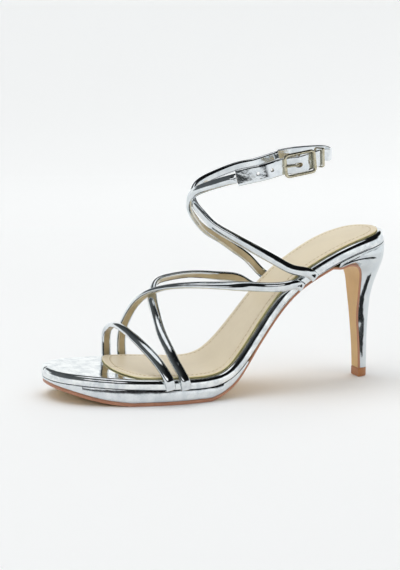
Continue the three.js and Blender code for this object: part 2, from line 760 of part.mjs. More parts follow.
// The band ends in an eye round the centre bar, slotted for the prong
function ankleBand() {
  const line = ankleUnderLine;
  const strip = solid(
    sweep(line, bandFrom, line.end, 30, flat, bandWidth, flatThick, throughBuckle));
  const eye = rod(eyeRadius, bandWidth, atBuckle(0, barOut), alongBar, 16);
  const bore = rod(barRadius + gap, 3 * bandWidth, atBuckle(0, barOut), alongBar);
  const slotWidth = 2 * (prongRadius + gap) + 0.5;
  const slotGeometry = new THREE.BoxGeometry(3 * eyeRadius, slotWidth, 4 * eyeRadius);
  const slotPlace = new THREE.Matrix4()
    .makeBasis(buckleHeading, buckleUp, buckleOut)
    .setPosition(atBuckle(0, barOut + eyeThick));
  const slot = solid(slotGeometry.applyMatrix4(slotPlace));
  return surface(strip.add(eye).subtract(bore).subtract(slot));
}

// The frame: a wire bent to a rounded rectangle, with the centre bar across it
function buckleFrame() {
  const halfWide = billetWidth / 2 + buckleAllowance + wireRadius;
  const path = [];
  for (const [turn, [signReach, signUp]] of [[1, 1], [-1, 1], [-1, -1], [1, -1]].entries()) {
    for (const share of evenly(4)) {
      const angle = (Math.PI / 2) * (turn + share);
      path.push({
        reach: signReach * (buckleReach - frameCorner) + frameCorner * Math.cos(angle),
        up: signUp * (halfWide - frameCorner) + frameCorner * Math.sin(angle),
        angle,
      });
    }
  }
  const skin = new Skin();
  const rings = path.map((spot) => evenly(8).slice(0, 8).map((share) => {
    const around = 2 * Math.PI * share;
    const side = wireRadius * Math.cos(around);
    return atBuckle(
      spot.reach + side * Math.cos(spot.angle),
      wireRadius * Math.sin(around),
      spot.up + side * Math.sin(spot.angle),
    );
  }));
  for (let i = 0; i < rings.length; i++) {
    const [here, there] = [rings[i], rings[(i + 1) % rings.length]];
    for (let j = 0; j < 8; j++) {
      const next = (j + 1) % 8;
      skin.quad(here[j], there[j], there[next], here[next]);
    }
  }
  const bar = rod(barRadius, 2 * halfWide, atBuckle(0, barOut), alongBar);
  return surface(solid(skin.geometry()).add(bar));
}

// The prong: a small eye on the centre bar and a rod that comes up through the billet and
// rests on the front bar of the frame
function buckleProng() {
  const rest = wireRadius + gap + prongRadius;
  const line = smoothLine([
    atBuckle(-1.0, -0.3),
    atBuckle(-1.9, 1.2),
    atBuckle(-2.9, 2.8),
    atBuckle(-4.6, 3.1),
    atBuckle(-6.8, 2.5),
    atBuckle(-buckleReach, rest),
    atBuckle(-buckleReach - wireRadius, rest - 0.1),
  ]);
  const facing = () => buckleUp.clone();
  const wire = solid(
    sweep(line, 0, line.end, 14, round, 2 * prongRadius, 2 * prongRadius, facing));
  const eye = rod(barRadius + gap + 0.7, 2 * prongRadius, atBuckle(0, barOut), alongBar);
  const bore = rod(barRadius + gap, 3 * bandWidth, atBuckle(0, barOut), alongBar);
  return surface(wire.add(eye).subtract(bore));
}

// The keeper: a flat metal loop round billet and band
function keeperLoop() {
  const lookUp = (table) => table.find((row) => row.reach === keeperReach).out;
  const onBillet = atBuckle(keeperReach, lookUp(billetReach));
  const onBand = atBuckle(keeperReach, lookUp(bandReach));
  const middle = onBillet.clone().lerp(onBand, 0.5);
  const heading = ankleOverLine.heading(ankleOverLine.runs.at(-2));
  const out = squareTo(heading, roundLeg(middle));
  const up = out.clone().cross(heading);
  const halfOut = (onBillet.sub(onBand).dot(out) + flatThick) / 2 + 1.5 * gap;
  const halfWide = billetWidth / 2 + buckleAllowance;
  const loop = (grow, radius) => {
    const [w, h] = [halfWide + grow, halfOut + grow];
    const shape = new THREE.Shape();
    shape.moveTo(-w + radius, -h);
    shape.absarc(w - radius, -h + radius, radius, -Math.PI / 2, 0, false);
    shape.absarc(w - radius, h - radius, radius, 0, Math.PI / 2, false);
    shape.absarc(-w + radius, h - radius, radius, Math.PI / 2, Math.PI, false);
    shape.absarc(-w + radius, -h + radius, radius, Math.PI, 1.5 * Math.PI, false);
    return shape;
  };
  const place = new THREE.Matrix4().makeBasis(up, out, heading).setPosition(middle);
  const block = (shape, depth) => {
    const options = { depth, bevelEnabled: false, curveSegments: 4 };
    const geometry = new THREE.ExtrudeGeometry(shape, options).translate(0, 0, -depth / 2);
    return solid(geometry.applyMatrix4(place));
  };
  const inner = block(loop(0, 0.4), 3 * keeperWidth);
  return surface(block(loop(keeperThick, 0.4 + keeperThick), keeperWidth).subtract(inner));
}

// Materials
const chrome = { color: 0xd9dcdc, roughness: 0.12, metalness: 1.0 };
const finishes = {
  outsole: { color: 0xc49173, roughness: 0.55, metalness: 0.0 },
  platform: chrome,
  footbed_board: chrome,
  insole: { color: 0xe8dabe, roughness: 0.7, metalness: 0.0 },
  heel: chrome,
  heel_tip: { color: 0xb97d4b, roughness: 0.5, metalness: 0.0 },
  toe_strap: chrome,
  instep_straps: chrome,
  ankle_straps: chrome,
  ankle_band: chrome,
  billet: chrome,
  buckle_frame: { color: 0xcfc8b0, roughness: 0.2, metalness: 1.0 },
  buckle_prong: { color: 0xcfc8b0, roughness: 0.2, metalness: 1.0 },
  keeper_loop: { color: 0xcfc8b0, roughness: 0.2, metalness: 1.0 },
};

const shapes = {
  outsole: outsole(),
  platform: platform(),
  footbed_board: footbedBoard(),
  insole: insole(),
  heel: heel(),
  heel_tip: heelTip(),
  toe_strap: toeStrap(),
  instep_straps: instepStraps(),
  ankle_straps: ankleStraps(),
  ankle_band: ankleBand(),
  billet: billet(),
  buckle_frame: buckleFrame(),
  buckle_prong: buckleProng(),
  keeper_loop: keeperLoop(),
};

const shoe = new THREE.Group();
for (const [name, geometry] of Object.entries(shapes)) {
  geometry.computeVertexNormals();
  const mesh = new THREE.Mesh(geometry, new THREE.MeshStandardMaterial(finishes[name]));
  mesh.name = name;
  shoe.add(mesh);
}

// The origin is the middle of the floor space that the shoe takes up
const box = new THREE.Box3().setFromObject(shoe);
const centre = box.getCenter(new THREE.Vector3());
shoe.position.set(-centre.x, -centre.y, -box.min.z);
shoe.updateMatrixWorld(true);

export default shoe;
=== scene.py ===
# %% [markdown]
# A strappy high-heeled sandal in mirror silver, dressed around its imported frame. It is a left
# shoe and stands on its sole. Each lesson below says what a piece or a finish is on the real
# shoe, how it could be made in Blender, and why this way was chosen.

import bmesh
import bpy
import numpy as np
from mathutils import Matrix, Vector


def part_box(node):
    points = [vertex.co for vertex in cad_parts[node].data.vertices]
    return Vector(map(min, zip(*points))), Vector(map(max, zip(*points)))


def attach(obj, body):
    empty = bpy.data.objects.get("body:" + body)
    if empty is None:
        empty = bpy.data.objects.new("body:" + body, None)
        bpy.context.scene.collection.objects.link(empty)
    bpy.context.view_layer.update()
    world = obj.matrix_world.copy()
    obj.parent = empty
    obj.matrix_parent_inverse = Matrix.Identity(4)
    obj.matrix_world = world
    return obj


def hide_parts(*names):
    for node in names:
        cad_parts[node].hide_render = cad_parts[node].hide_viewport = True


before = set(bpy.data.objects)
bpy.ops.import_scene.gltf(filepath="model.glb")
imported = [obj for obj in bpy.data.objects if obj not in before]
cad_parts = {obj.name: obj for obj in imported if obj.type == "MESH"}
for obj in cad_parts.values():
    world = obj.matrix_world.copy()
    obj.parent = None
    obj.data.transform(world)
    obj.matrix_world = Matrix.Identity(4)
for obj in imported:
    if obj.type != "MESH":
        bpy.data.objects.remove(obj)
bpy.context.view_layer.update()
print("nodes:", ", ".join(sorted(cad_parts)))

# %% [markdown]
# The frame gives where everything is, but its faces are large and flat, and a mirror finish shows
# every facet. So each piece is made again from the shoemaker's own sizes, with fine steps, in the
# same place. All sizes are in millimetres, and only the last step turns them into metres.
# Sections run along the shoe from the toe tip (along 0) to the back of the heel seat (along 1).

# %% The shoe's sizes
LENGTH = 224
HALF_BALL = 40
HEEL_HEIGHT = 98.6
BALL_HEIGHT = 15.4
INSTEP_HEIGHT = 70
BOARD_THICK = 6.3
SEAT_THICK = 7.4
SOLE_THICK = 2.2
WAIST_SOLE_THICK = 1.4
SOLE_INSET = 1.2
PLATFORM_INSET = 0.5
SOCK_THICK = 1.0
SOCK_INSET = 3.5
SOCK_SETBACK = 40
SOCK_FRONT_DEPTH = 10
STRAP_WIDTH = 6.2
STRAP_THICK = 3.2
BAND_WIDTH = 7.4
BILLET_WIDTH = 10.4
FLAT_THICK = 1.8
TIP_HEIGHT = 5.8
HEEL_INSET = 0.3
HEEL_CENTRE = -0.9
GAP = 0.3
SEAM = 0.08


def columns(names, *rows):
    """A short table as one array for each named column."""
    return dict(zip(names.split(), np.array(rows, float).T))


OUTLINE = columns(
    "along lateral medial",
    (0.000, 0.200, 0.200),
    (0.020, -0.250, 0.570),
    (0.050, -0.450, 0.725),
    (0.100, -0.650, 0.860),
    (0.170, -0.835, 0.955),
    (0.250, -0.950, 0.975),
    (0.330, -1.000, 0.910),
    (0.420, -0.955, 0.745),
    (0.520, -0.800, 0.540),
    (0.620, -0.685, 0.455),
    (0.720, -0.662, 0.485),
    (0.820, -0.675, 0.575),
    (0.900, -0.640, 0.600),
    (0.960, -0.500, 0.500),
    (0.985, -0.325, 0.330),
    (1.000, 0.000, 0.000),
)
PROFILE = columns(
    "along rise",
    (0.00, 0.045),
    (0.10, 0.032),
    (0.20, 0.017),
    (0.30, 0.006),
    (0.36, 0.000),
    (0.42, 0.002),
    (0.48, 0.053),
    (0.54, 0.217),
    (0.60, 0.420),
    (0.67, 0.622),
    (0.75, 0.770),
    (0.85, 0.897),
    (1.00, 1.000),
)
print("footbed:", LENGTH, "mm long,", 2 * HALF_BALL, "mm across the ball")

# %% [markdown]
# A last is a smooth thing, so a few measured stations are joined by a natural cubic spline: it is
# the curve a thin wooden batten takes between pins. Blender's own curves could do this too, but a
# function can be asked for a height or a width anywhere, which every piece of the shoe needs.


# %% Splines through few points
def spline(xs, ys):
    """Natural cubic spline through the points, for a number or an array. It stops at its ends."""
    xs, ys = np.asarray(xs, float), np.asarray(ys, float)
    steps = np.diff(xs)
    system = np.eye(len(xs))
    right = np.zeros(len(xs))
    for i in range(1, len(xs) - 1):
        system[i, i - 1 : i + 2] = steps[i - 1], 2 * (steps[i - 1] + steps[i]), steps[i]
        right[i] = 6 * ((ys[i + 1] - ys[i]) / steps[i] - (ys[i] - ys[i - 1]) / steps[i - 1])
    bend = np.linalg.solve(system, right)

    def at(x):
        x = np.clip(x, xs[0], xs[-1])
        i = np.clip(np.searchsorted(xs, x), 1, len(xs) - 1)
        width = xs[i] - xs[i - 1]
        b = (x - xs[i - 1]) / width
        a = 1 - b
        curl = (a**3 - a) * bend[i - 1] + (b**3 - b) * bend[i]
        return a * ys[i - 1] + b * ys[i] + curl * width**2 / 6

    return at


def ease(low, high, value):
    """0 below low, 1 above high, and a smooth step between them."""
    share = np.clip((value - low) / (high - low), 0, 1)
    return share * share * (3 - 2 * share)


def mix(a, b, share):
    return a + (b - a) * share


def turn_at(along):
    """Stations are counted in turns, which crowd at the toe and the heel, where it is round."""
    return np.arccos(1 - 2 * along) / np.pi


side_edge = {
    -1: spline(turn_at(OUTLINE["along"]), HALF_BALL * OUTLINE["lateral"]),
    1: spline(turn_at(OUTLINE["along"]), HALF_BALL * OUTLINE["medial"]),
}


def edge(side, turn, inset):
    """x and y of the outline on one side (-1 lateral, 1 medial), moved inwards by inset."""
    step = 1e-4
    before, after = np.maximum(turn - step, 0), np.minimum(turn + step, 1)
    dy = (side_edge[side](after) - side_edge[side](before)) / (after - before)
    dx = LENGTH * np.pi * np.sin(np.pi * turn) / 2
    run = np.hypot(dx, dy)
    x = LENGTH * (1 - np.cos(np.pi * turn)) / 2
    return x + side * dy * inset / run, side_edge[side](turn) - side * dx * inset / run


rise = spline(PROFILE["along"], PROFILE["rise"])


def board_top(x):
    return BALL_HEIGHT + (HEEL_HEIGHT - BALL_HEIGHT) * rise(x / LENGTH)


def tilt(x):
    return np.arctan2(board_top(x + 0.1) - board_top(x - 0.1), 0.2)


def on_board(x, y, depth, floor=0.0):
    """Points at x on the board's top, sunk by depth square to it and no lower than floor."""
    angle = tilt(x)
    z = np.maximum(board_top(x) - np.cos(angle) * depth, floor)
    return np.stack(np.broadcast_arrays(x + np.sin(angle) * depth, y, z), -1)


steepest = np.degrees(tilt(np.linspace(0, LENGTH, 200)).max())
print("steepest part of the arch:", round(float(steepest), 1), "degrees")

# %% [markdown]
# Below the board's top lie the board, the platform and the outsole. Their depths are functions of
# x too, so that the layers can never cross. The frame moved the shoe so that its middle is the
# origin. The heel tip stands at a known place, so it tells how far.

# %% Layers and the place of the shoe
PLATFORM = columns(
    "along share",
    (0.00, 0.15),
    (0.05, 0.52),
    (0.10, 0.90),
    (0.16, 1.15),
    (0.24, 1.22),
    (0.32, 1.15),
    (0.38, 1.10),
    (0.42, 1.00),
    (0.46, 0.62),
    (0.50, 0.22),
    (0.53, 0.05),
    (0.56, 0.00),
)
PLATFORM_END = 0.515
FLAP_START = 0.785
TIP_BACK = 0.968
taper = spline(PLATFORM["along"], PLATFORM["share"])
platform_room = BALL_HEIGHT - BOARD_THICK - SOLE_THICK - GAP


def board_depth(x):
    return mix(BOARD_THICK, SEAT_THICK, ease(0.6, 0.78, x / LENGTH))


def sole_top_depth(x):
    share = np.where(x / LENGTH < 0.56, np.maximum(taper(x / LENGTH), 0), 0)
    return board_depth(x) + GAP + share * platform_room


def sole_depth(x):
    return mix(SOLE_THICK, WAIST_SOLE_THICK, ease(0.4, 0.52, x / LENGTH))


tip_low, tip_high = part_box("heel_tip")
shift = np.array([
    1000 * tip_high.x - TIP_BACK * LENGTH,
    500 * (tip_low.y + tip_high.y) - HEEL_CENTRE,
    0,
])
print("the frame moved the shoe by", np.round(shift, 2), "mm")


def to_frame(points):
    """Millimetres on the last to metres in the frame."""
    return (np.asarray(points, float) + shift) / 1000


# %% [markdown]
# The camera stands in front of the outer side, turned a little towards the toe, one metre away
# and a quarter of a metre above the floor. Aiming it at the middle of this one shoe with a
# longer lens fills the frame with it and changes no perspective. The studio is a pale floor that
# runs up into a pale backdrop on all sides. The foil doesn't mirror the backdrop: what it
# mirrors is painted into the world further down.

# %% Camera and floor
scene = bpy.context.scene
CAMERA_AZIMUTH = -23.09
CAMERA_ELEVATION = 13.77
CAMERA_ROLL = 0.94
CAMERA_DISTANCE = 1018.61
CAMERA_SHIFT = np.array([-22.49, 56.92])
FOCAL_LENGTH = 102
AIM = np.array([100, 0, 66])

azimuth, elevation = np.radians([CAMERA_AZIMUTH, CAMERA_ELEVATION])
backward = np.array([
    np.sin(azimuth) * np.cos(elevation),
    -np.cos(azimuth) * np.cos(elevation),
    np.sin(elevation),
])
rightward = np.cross(-backward, (0, 0, 1))
rightward /= np.linalg.norm(rightward)
upward = np.cross(rightward, -backward)
roll = np.radians(CAMERA_ROLL)
screen_right = np.cos(roll) * rightward + np.sin(roll) * upward
screen_up = np.cos(roll) * upward - np.sin(roll) * rightward
shoe_middle = np.array([LENGTH / 2, 0, 50])
camera_spot = shoe_middle + CAMERA_DISTANCE * backward
camera_spot = camera_spot - CAMERA_SHIFT[0] * screen_right - CAMERA_SHIFT[1] * screen_up

look = AIM - camera_spot
look /= np.linalg.norm(look)
across_view = np.cross(look, screen_up)
across_view /= np.linalg.norm(across_view)
camera = bpy.data.objects.new("camera", bpy.data.cameras.new("camera"))
camera.data.lens = FOCAL_LENGTH
camera.matrix_world = Matrix.Translation(Vector(to_frame(camera_spot))) @ Matrix(
    np.array([across_view, np.cross(across_view, look), -look]).T.tolist()
).to_4x4()
scene.collection.objects.link(camera)
scene.camera = camera

FLOOR_RADIUS = 1.3
BOWL_RADIUS = 1.2
BOWL_HEIGHT = 3.0
STAGE_SIDES = 96


def stage_piece(name, points, faces, unseen_by=()):
    """A piece of the studio, hidden from some kinds of ray."""
    mesh = bpy.data.meshes.new(name)
    mesh.from_pydata(points, [], faces)
    mesh.shade_smooth()
    piece = bpy.data.objects.new(name, mesh)
    for ray in unseen_by:
        setattr(piece, "visible_" + ray, False)
    scene.collection.objects.link(piece)
    return piece


def revolved(name, rows, unseen_by=()):
    """A stage piece turned round the shoe, from rows of radius and height."""
    angles = np.linspace(0, 2 * np.pi, STAGE_SIDES, endpoint=False)
    points = [(r * np.cos(t), r * np.sin(t), z) for r, z in rows for t in angles]
    faces = []
    for i in range(0, STAGE_SIDES * (len(rows) - 1), STAGE_SIDES):
        for j in range(STAGE_SIDES):
            k = (j + 1) % STAGE_SIDES
            faces.append((i + j, i + k, i + STAGE_SIDES + k, i + STAGE_SIDES + j))
    return stage_piece(name, points, faces, unseen_by)


floor = revolved("studio_floor", [(0.001, 0), (0.4, 0), (0.8, 0), (FLOOR_RADIUS, 0)])
bowl_rows = [
    (FLOOR_RADIUS + BOWL_RADIUS * np.sin(angle), BOWL_RADIUS * (1 - np.cos(angle)))
    for angle in np.linspace(0, np.pi / 2, 24)
]
bowl_rows.append((FLOOR_RADIUS + BOWL_RADIUS, BOWL_HEIGHT))
backdrop_bowl = revolved(
    "studio_backdrop", bowl_rows, ("glossy", "diffuse", "shadow", "transmission")
)
print("camera stands", round(float(np.linalg.norm(camera_spot - shoe_middle))), "mm away")

# %% [markdown]
# Materials are written as sums. A socket is wrapped in a small class whose plus, minus and
# times signs add Math nodes, so that a mask reads like the formula it is. Every other node
# comes from one method, which sets the node up first and then fills its sockets.


# %% Sums of sockets
class Value:
    """A socket with a number in it, which can be used in a sum."""

    def __init__(self, nodes, socket):
        self.nodes = nodes
        self.socket = socket

    def maths(self, operation, *values):
        return self.nodes.add("Math", {"operation": operation}, values)

    def __radd__(self, other):
        return self.maths("ADD", other, self)

    def __rsub__(self, other):
        return self.maths("SUBTRACT", other, self)

    def __mul__(self, other):
        return self.maths("MULTIPLY", self, other)

    def __rmul__(self, other):
        return self.maths("MULTIPLY", other, self)

    def between(self, low, high):
        """0 below low, 1 above high, with a soft step between."""
        inputs = {"Value": self, "From Min": low, "From Max": high}
        return self.nodes.add("MapRange", {"interpolation_type": "SMOOTHSTEP"}, inputs)


MIX_SHARE, MIX_A, MIX_B, MIX_RESULT = 0, 6, 7, 2


class Nodes:
    """The nodes of one material or of the world."""

    def __init__(self, owner):
        owner.use_nodes = True
        self.tree = owner.node_tree
        self.tree.nodes.clear()

    def add(self, kind, settings=None, inputs=None, output=0):
        """Add a node: settings first, then the values or links of its sockets."""
        node = self.tree.nodes.new("ShaderNode" + kind)
        for name, setting in (settings or {}).items():
            setattr(node, name, setting)
        named = inputs.items() if isinstance(inputs, dict) else enumerate(inputs or ())
        for name, value in named:
            if isinstance(value, Value):
                self.tree.links.new(value.socket, node.inputs[name])
            else:
                node.inputs[name].default_value = value
        return Value(self, node.outputs[output]) if node.outputs else None

    def vector(self, operation, *inputs, output=0):
        return self.add("VectorMath", {"operation": operation}, inputs, output)

    def mix(self, share, a, b):
        """A colour between a and b. The node has other sockets for numbers and vectors."""
        inputs = {MIX_SHARE: share, MIX_A: a, MIX_B: b}
        return self.add("Mix", {"data_type": "RGBA"}, inputs, MIX_RESULT)

    def noise(self, place, scale, detail=2.0, roughness=0.5, distortion=0.0):
        inputs = {"Vector": place, "Scale": scale, "Detail": detail}
        inputs.update({"Roughness": roughness, "Distortion": distortion})
        return self.add("TexNoise", {}, inputs)

    def bump(self, height, distance, normal=None):
        """Relief. The height is 0 to 1 and the distance is in metres."""
        inputs = {"Height": height, "Distance": distance}
        if normal:
            inputs["Normal"] = normal
        return self.add("Bump", {}, inputs)

    def finish(self, **inputs):
        """End a material in the main shader."""
        named = {name.replace("_", " "): value for name, value in inputs.items()}
        shader = self.add("BsdfPrincipled", {}, named)
        self.add("OutputMaterial", {}, [shader])


def shade(red, green, blue):
    """A colour as seen on a screen, 0 to 255, in Blender's linear values."""
    seen = np.array([red, green, blue]) / 255
    linear = np.where(seen < 0.04045, seen / 12.92, ((seen + 0.055) / 1.055) ** 2.4)
    return (*linear.tolist(), 1.0)


def new_material(name):
    """A material, its nodes and a place in millimetres that the textures are laid by."""
    material = bpy.data.materials.new(name)
    nodes = Nodes(material)
    place = nodes.vector("MULTIPLY", nodes.add("TexCoord", output="Object"), (1000, 1000, 1000))
    return material, nodes, place


print("a formula such as 1 - mask now adds its own nodes")

# %% [markdown]
# Mirror foil shows the room and hardly anything of itself, so the room is half of its look. A
# studio for bright shoes is white above, below and behind. The streaks on the straps are the
# dark end of the room, behind the camera. Here the world paints that room softly by direction.
# A black card on the floor, which only the foil sees, gives the heel its dark streak.

# %% The room that the foil mirrors
TO_CAMERA = Vector((backward[0], backward[1], 0)).normalized()
TO_RIGHT = Vector((-TO_CAMERA.y, TO_CAMERA.x, 0))


def soft_band(value, low, high, soft):
    """1 between low and high, with soft ends."""
    return value.between(low - soft, low + soft) * (1 - value.between(high - soft, high + soft))


world = bpy.data.worlds.new("studio")
scene.world = world
room = Nodes(world)
direction = room.add("TexCoord", output="Generated")
up = room.add("SeparateXYZ", {}, [direction], output="Z")
near = room.vector("DOT_PRODUCT", direction, TO_CAMERA, output="Value")
right = room.vector("DOT_PRODUCT", direction, TO_RIGHT, output="Value")
backdrop = (-1 * near).between(0.2, 0.45) * (1 - up.between(0.3, 0.42))
window = soft_band(up, 0.3, 0.52, 0.03) * soft_band(right, -0.45, 0.1, 0.05)
window = near.between(0.2, 0.4) * window
window_right = right.between(0.5, 0.65) * soft_band(up, -0.3, 0.2, 0.04)
painted = room.mix(right.between(-0.9, 0.4), shade(84, 87, 88), shade(16, 17, 18))
for mask, colour in (
    (backdrop, shade(236, 238, 238)),
    (up.between(0.92, 0.97), shade(250, 251, 252)),
    (window, shade(255, 255, 255)),
    (window_right, shade(236, 238, 240)),
    (1 - up.between(0.03, 0.1), shade(236, 238, 239)),
):
    painted = room.mix(mask, painted, colour)
background = room.add("Background", {}, {"Color": painted, "Strength": 1.16})
room.add("OutputWorld", {}, [background])


def softbox(name, ahead, aside, high, size, power):
    """A square light that looks at the shoe. Neither the camera nor the foil sees it."""
    data = bpy.data.lights.new(name, "AREA")
    data.size = size
    data.energy = power
    lamp = bpy.data.objects.new(name, data)
    lamp.location = TO_CAMERA * ahead + TO_RIGHT * aside + Vector((0, 0, high))
    lamp.rotation_euler = (Vector((0, 0, 0.05)) - lamp.location).to_track_quat("-Z", "Y").to_euler()
    lamp.visible_camera = False
    lamp.visible_glossy = False
    scene.collection.objects.link(lamp)


softbox("softbox_above", -0.3, -0.4, 1.6, 1.4, 12.5)
softbox("softbox_back", -1.0, 0.6, 1.3, 1.2, 6.5)
softbox("fill_left", 0.9, -1.1, 1.4, 1.8, 10)
softbox("fill_right", 0.9, 1.1, 1.4, 1.8, 10)

CARD_CORNERS = [(243, -64), (262, -38), (285, -58), (375, -64), (375, -128), (258, -130)]
CARD_HEIGHT = 0.0008
card = stage_piece(
    "dark_card_low",
    [(*to_frame((x, y, 0))[:2], CARD_HEIGHT) for x, y in CARD_CORNERS],
    [tuple(range(len(CARD_CORNERS)))],
    ("camera", "diffuse", "shadow", "transmission"),
)
scene.view_settings.view_transform = "Standard"
scene.view_settings.look = "None"
scene.view_settings.exposure = 0.07

studio_paint, nodes, place = new_material("studio_paint")
distance = nodes.vector("LENGTH", place, output="Value")
nodes.finish(
    Base_Color=shade(244, 245, 245),
    Roughness=0.8,
    Emission_Color=nodes.mix(distance.between(300, 1600), shade(0, 0, 0), shade(144, 145, 145)),
    Emission_Strength=1.0,
)
floor.data.materials.append(studio_paint)
backdrop_bowl.data.materials.append(studio_paint)
card_paint, nodes, place = new_material("card_paint")
nodes.finish(Base_Color=shade(28, 29, 30), Roughness=0.9)
card.data.materials.append(card_paint)

# %% [markdown]
# The foil is a silver film on thin synthetic leather. It is nearly a perfect mirror, but the
# leather below is never quite flat: the film waves over it at two scales, and small dents
# catch the light. A metallic shader with low roughness and two soft bumps gives that.


# %% Foil
def foil(name, wave_height, wave_length, roughness, tint):
    """Mirror foil: its waves are wave_length mm apart and wave_height mm high."""
    material, nodes, place = new_material(name)
    wave = nodes.noise(place, 1 / wave_length, 2.0, 0.45, 0.3)
    fine = nodes.noise(place, 3.1 / wave_length, 3.0, 0.6)
    normal = nodes.bump(wave, wave_height / 1000)
    normal = nodes.bump(fine, wave_height / 6000, normal=normal)
    cloud = nodes.noise(place, 0.16, 3.0, 0.6).between(0.35, 0.7)
    colour = nodes.mix(cloud, tint, shade(208, 214, 218))
    nodes.finish(
        Base_Color=colour,
        Metallic=1.0,
        Roughness=roughness + cloud * 0.05,
        Normal=normal,
    )
    return material


SILVER = shade(226, 230, 232)
# The board's foil is tinted paler and the heel's darker than the rest. This is painted light and
# painted shade: the board's top looks brighter, and the heel shows grey against the pale studio.
foil_board_painted_lighter = foil("foil_board_painted_lighter", 0.20, 14, 0.07, shade(243, 246, 246))
foil_platform = foil("foil_platform", 0.25, 12, 0.12, SILVER)
foil_heel_painted_darker = foil("foil_heel_painted_darker", 0.16, 10, 0.08, shade(216, 221, 223))
foil_strap = foil("foil_strap", 0.10, 6, 0.05, SILVER)
foil_flat = foil("foil_flat", 0.12, 5, 0.06, SILVER)

# %% [markdown]
# The straps are lined, and the sock is covered, with plain fine-grained synthetic in a sandy
# beige. It is matt with a satin shine where it turns away. The outsole is a denser sheet:
# its cut edge is stained brown, its face is tan.


# %% Lining, sock, sole and metal
def grained(name, main, other, roughness, grain, patch_size=18, coat=0.0):
    """A synthetic with a fine pebble grain, grain mm across, and faint patches of colour."""
    material, nodes, place = new_material(name)
    pebble = nodes.add(
        "TexVoronoi", {"feature": "SMOOTH_F1"}, {"Vector": place, "Scale": 1 / grain}
    )
    patch = nodes.noise(place, 1 / patch_size, 3.0, 0.6).between(0.3, 0.75)
    speck = nodes.noise(place, 1.3, 2.0, 0.6)
    colour = nodes.mix(patch, main, other)
    colour = nodes.mix(speck.between(0.62, 0.8) * 0.15, colour, shade(160, 130, 95))
    nodes.finish(
        Base_Color=colour,
        Roughness=roughness - 0.08 * patch,
        Normal=nodes.bump(1 - pebble, grain / 12000),
        Coat_Weight=coat,
        Coat_Roughness=0.4,
    )
    return material


sock_beige = grained("sock_beige", shade(232, 219, 192), shade(226, 212, 184), 0.46, 0.5, coat=0.15)
sock_edge = grained("sock_cut_edge", shade(226, 216, 160), shade(214, 200, 140), 0.6, 0.4)
lining_tan = grained("lining_tan", shade(206, 188, 150), shade(168, 150, 112), 0.34, 0.5, coat=0.3)
sole_face = grained("sole_face", shade(226, 190, 130), shade(212, 174, 116), 0.5, 0.7, coat=0.1)
sole_edge = grained("sole_edge", shade(190, 134, 104), shade(168, 112, 84), 0.42, 0.5, coat=0.2)
tip_brown = grained("tip_brown", shade(186, 126, 80), shade(166, 108, 66), 0.5, 0.6)
thread = grained("thread_beige", shade(214, 196, 160), shade(190, 168, 128), 0.6, 0.3)


def plated_metal(name):
    """Cast metal plated pale gold: bright, with faint polishing marks and random rougher patches.
    Its gold is darkened, most in the patches: painted shade for the dark room that the metal
    mirrors.
    """
    material, nodes, place = new_material(name)
    wear_and_shade = nodes.noise(place, 0.5, 3.0, 0.6).between(0.4, 0.7)
    marks = nodes.noise(nodes.vector("MULTIPLY", place, (1, 1, 6)), 0.8, 2.0, 0.6)
    nodes.finish(
        # Painted shade: both golds are darker than the plating, standing in for the dark
        # reflections.
        Base_Color=nodes.mix(wear_and_shade, shade(198, 192, 170), shade(162, 154, 128)),
        Metallic=1.0,
        Roughness=0.12 + wear_and_shade * 0.1,
        Normal=nodes.bump(marks, 0.00003),
    )
    return material


plated = plated_metal("plated_metal")
print(len(bpy.data.materials), "materials")

# %% [markdown]
# Nearly every piece of a shoe is a skin carried along a path: a layer of the sole from toe to
# heel, a strap over the foot, a wire round a buckle. So one builder takes rings of points and
# joins each ring to the next. Modelling by hand could pull the same shapes out of a box, but
# rings keep each piece true to the shoe's sizes.


# %% Rings into meshes
class Skin:
    """Collects rings of points, in millimetres, into one mesh with several finishes."""

    def __init__(self, materials):
        self.materials = materials
        self.points = []
        self.faces = []
        self.finishes = []

    def add(self, points):
        """Add points and give back their numbers."""
        first = len(self.points)
        self.points.extend(np.reshape(points, (-1, 3)))
        return range(first, len(self.points))

    def face(self, corners, finish):
        self.faces.append(tuple(int(corner) for corner in corners))
        self.finishes.append(int(finish))

    def bridge(self, ring, other, finish):
        """Join two closed rings by a band of faces. finish is one number, or one for each."""
        finish = np.broadcast_to(finish, len(ring))
        for j in range(len(ring)):
            k = (j + 1) % len(ring)
            self.face((ring[j], other[j], other[k], ring[k]), finish[j])

    def loft(self, rings, finish=0, loop=False):
        """Join each ring to the next. finish is one number, or one for each column or face."""
        rings = np.asarray(rings, float)
        finish = np.broadcast_to(finish, rings.shape[:2])
        numbers = [self.add(ring) for ring in rings]
        for i in range(len(rings) if loop else len(rings) - 1):
            self.bridge(numbers[i], numbers[(i + 1) % len(rings)], finish[i])
        if not loop:
            self.ladder(numbers[0], finish[0, 0])
            self.ladder(numbers[-1], finish[0, 0])

    def ladder(self, ring, finish):
        """Close a flat ring with rungs between its two sides."""
        low, high = 0, len(ring) - 1
        while high - low > 2:
            self.face((ring[low], ring[low + 1], ring[high - 1], ring[high]), finish)
            low, high = low + 1, high - 1
        self.face(ring[low : high + 1], finish)

    def build(self, name, node, slot, sharp=40):
        """Make the piece, hide its node and let it ride with the shoe."""
        mesh = bpy.data.meshes.new(name)
        mesh.from_pydata(to_frame(self.points).tolist(), [], self.faces)
        mesh.polygons.foreach_set("material_index", self.finishes)
        for material in self.materials:
            mesh.materials.append(material)
        work = bmesh.new()
        work.from_mesh(mesh)
        bmesh.ops.remove_doubles(work, verts=work.verts, dist=2e-6)
        bmesh.ops.recalc_face_normals(work, faces=work.faces)
        work.to_mesh(mesh)
        work.free()
        mesh.shade_smooth()
        mesh.set_sharp_from_angle(angle=np.radians(sharp))
        piece = bpy.data.objects.new(name, mesh)
        scene.collection.objects.link(piece)
        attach(piece, "root")
        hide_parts(node)
        mesh.calc_loop_triangles()
        print(f"{name}: {len(mesh.loop_triangles)} triangles")
        return piece


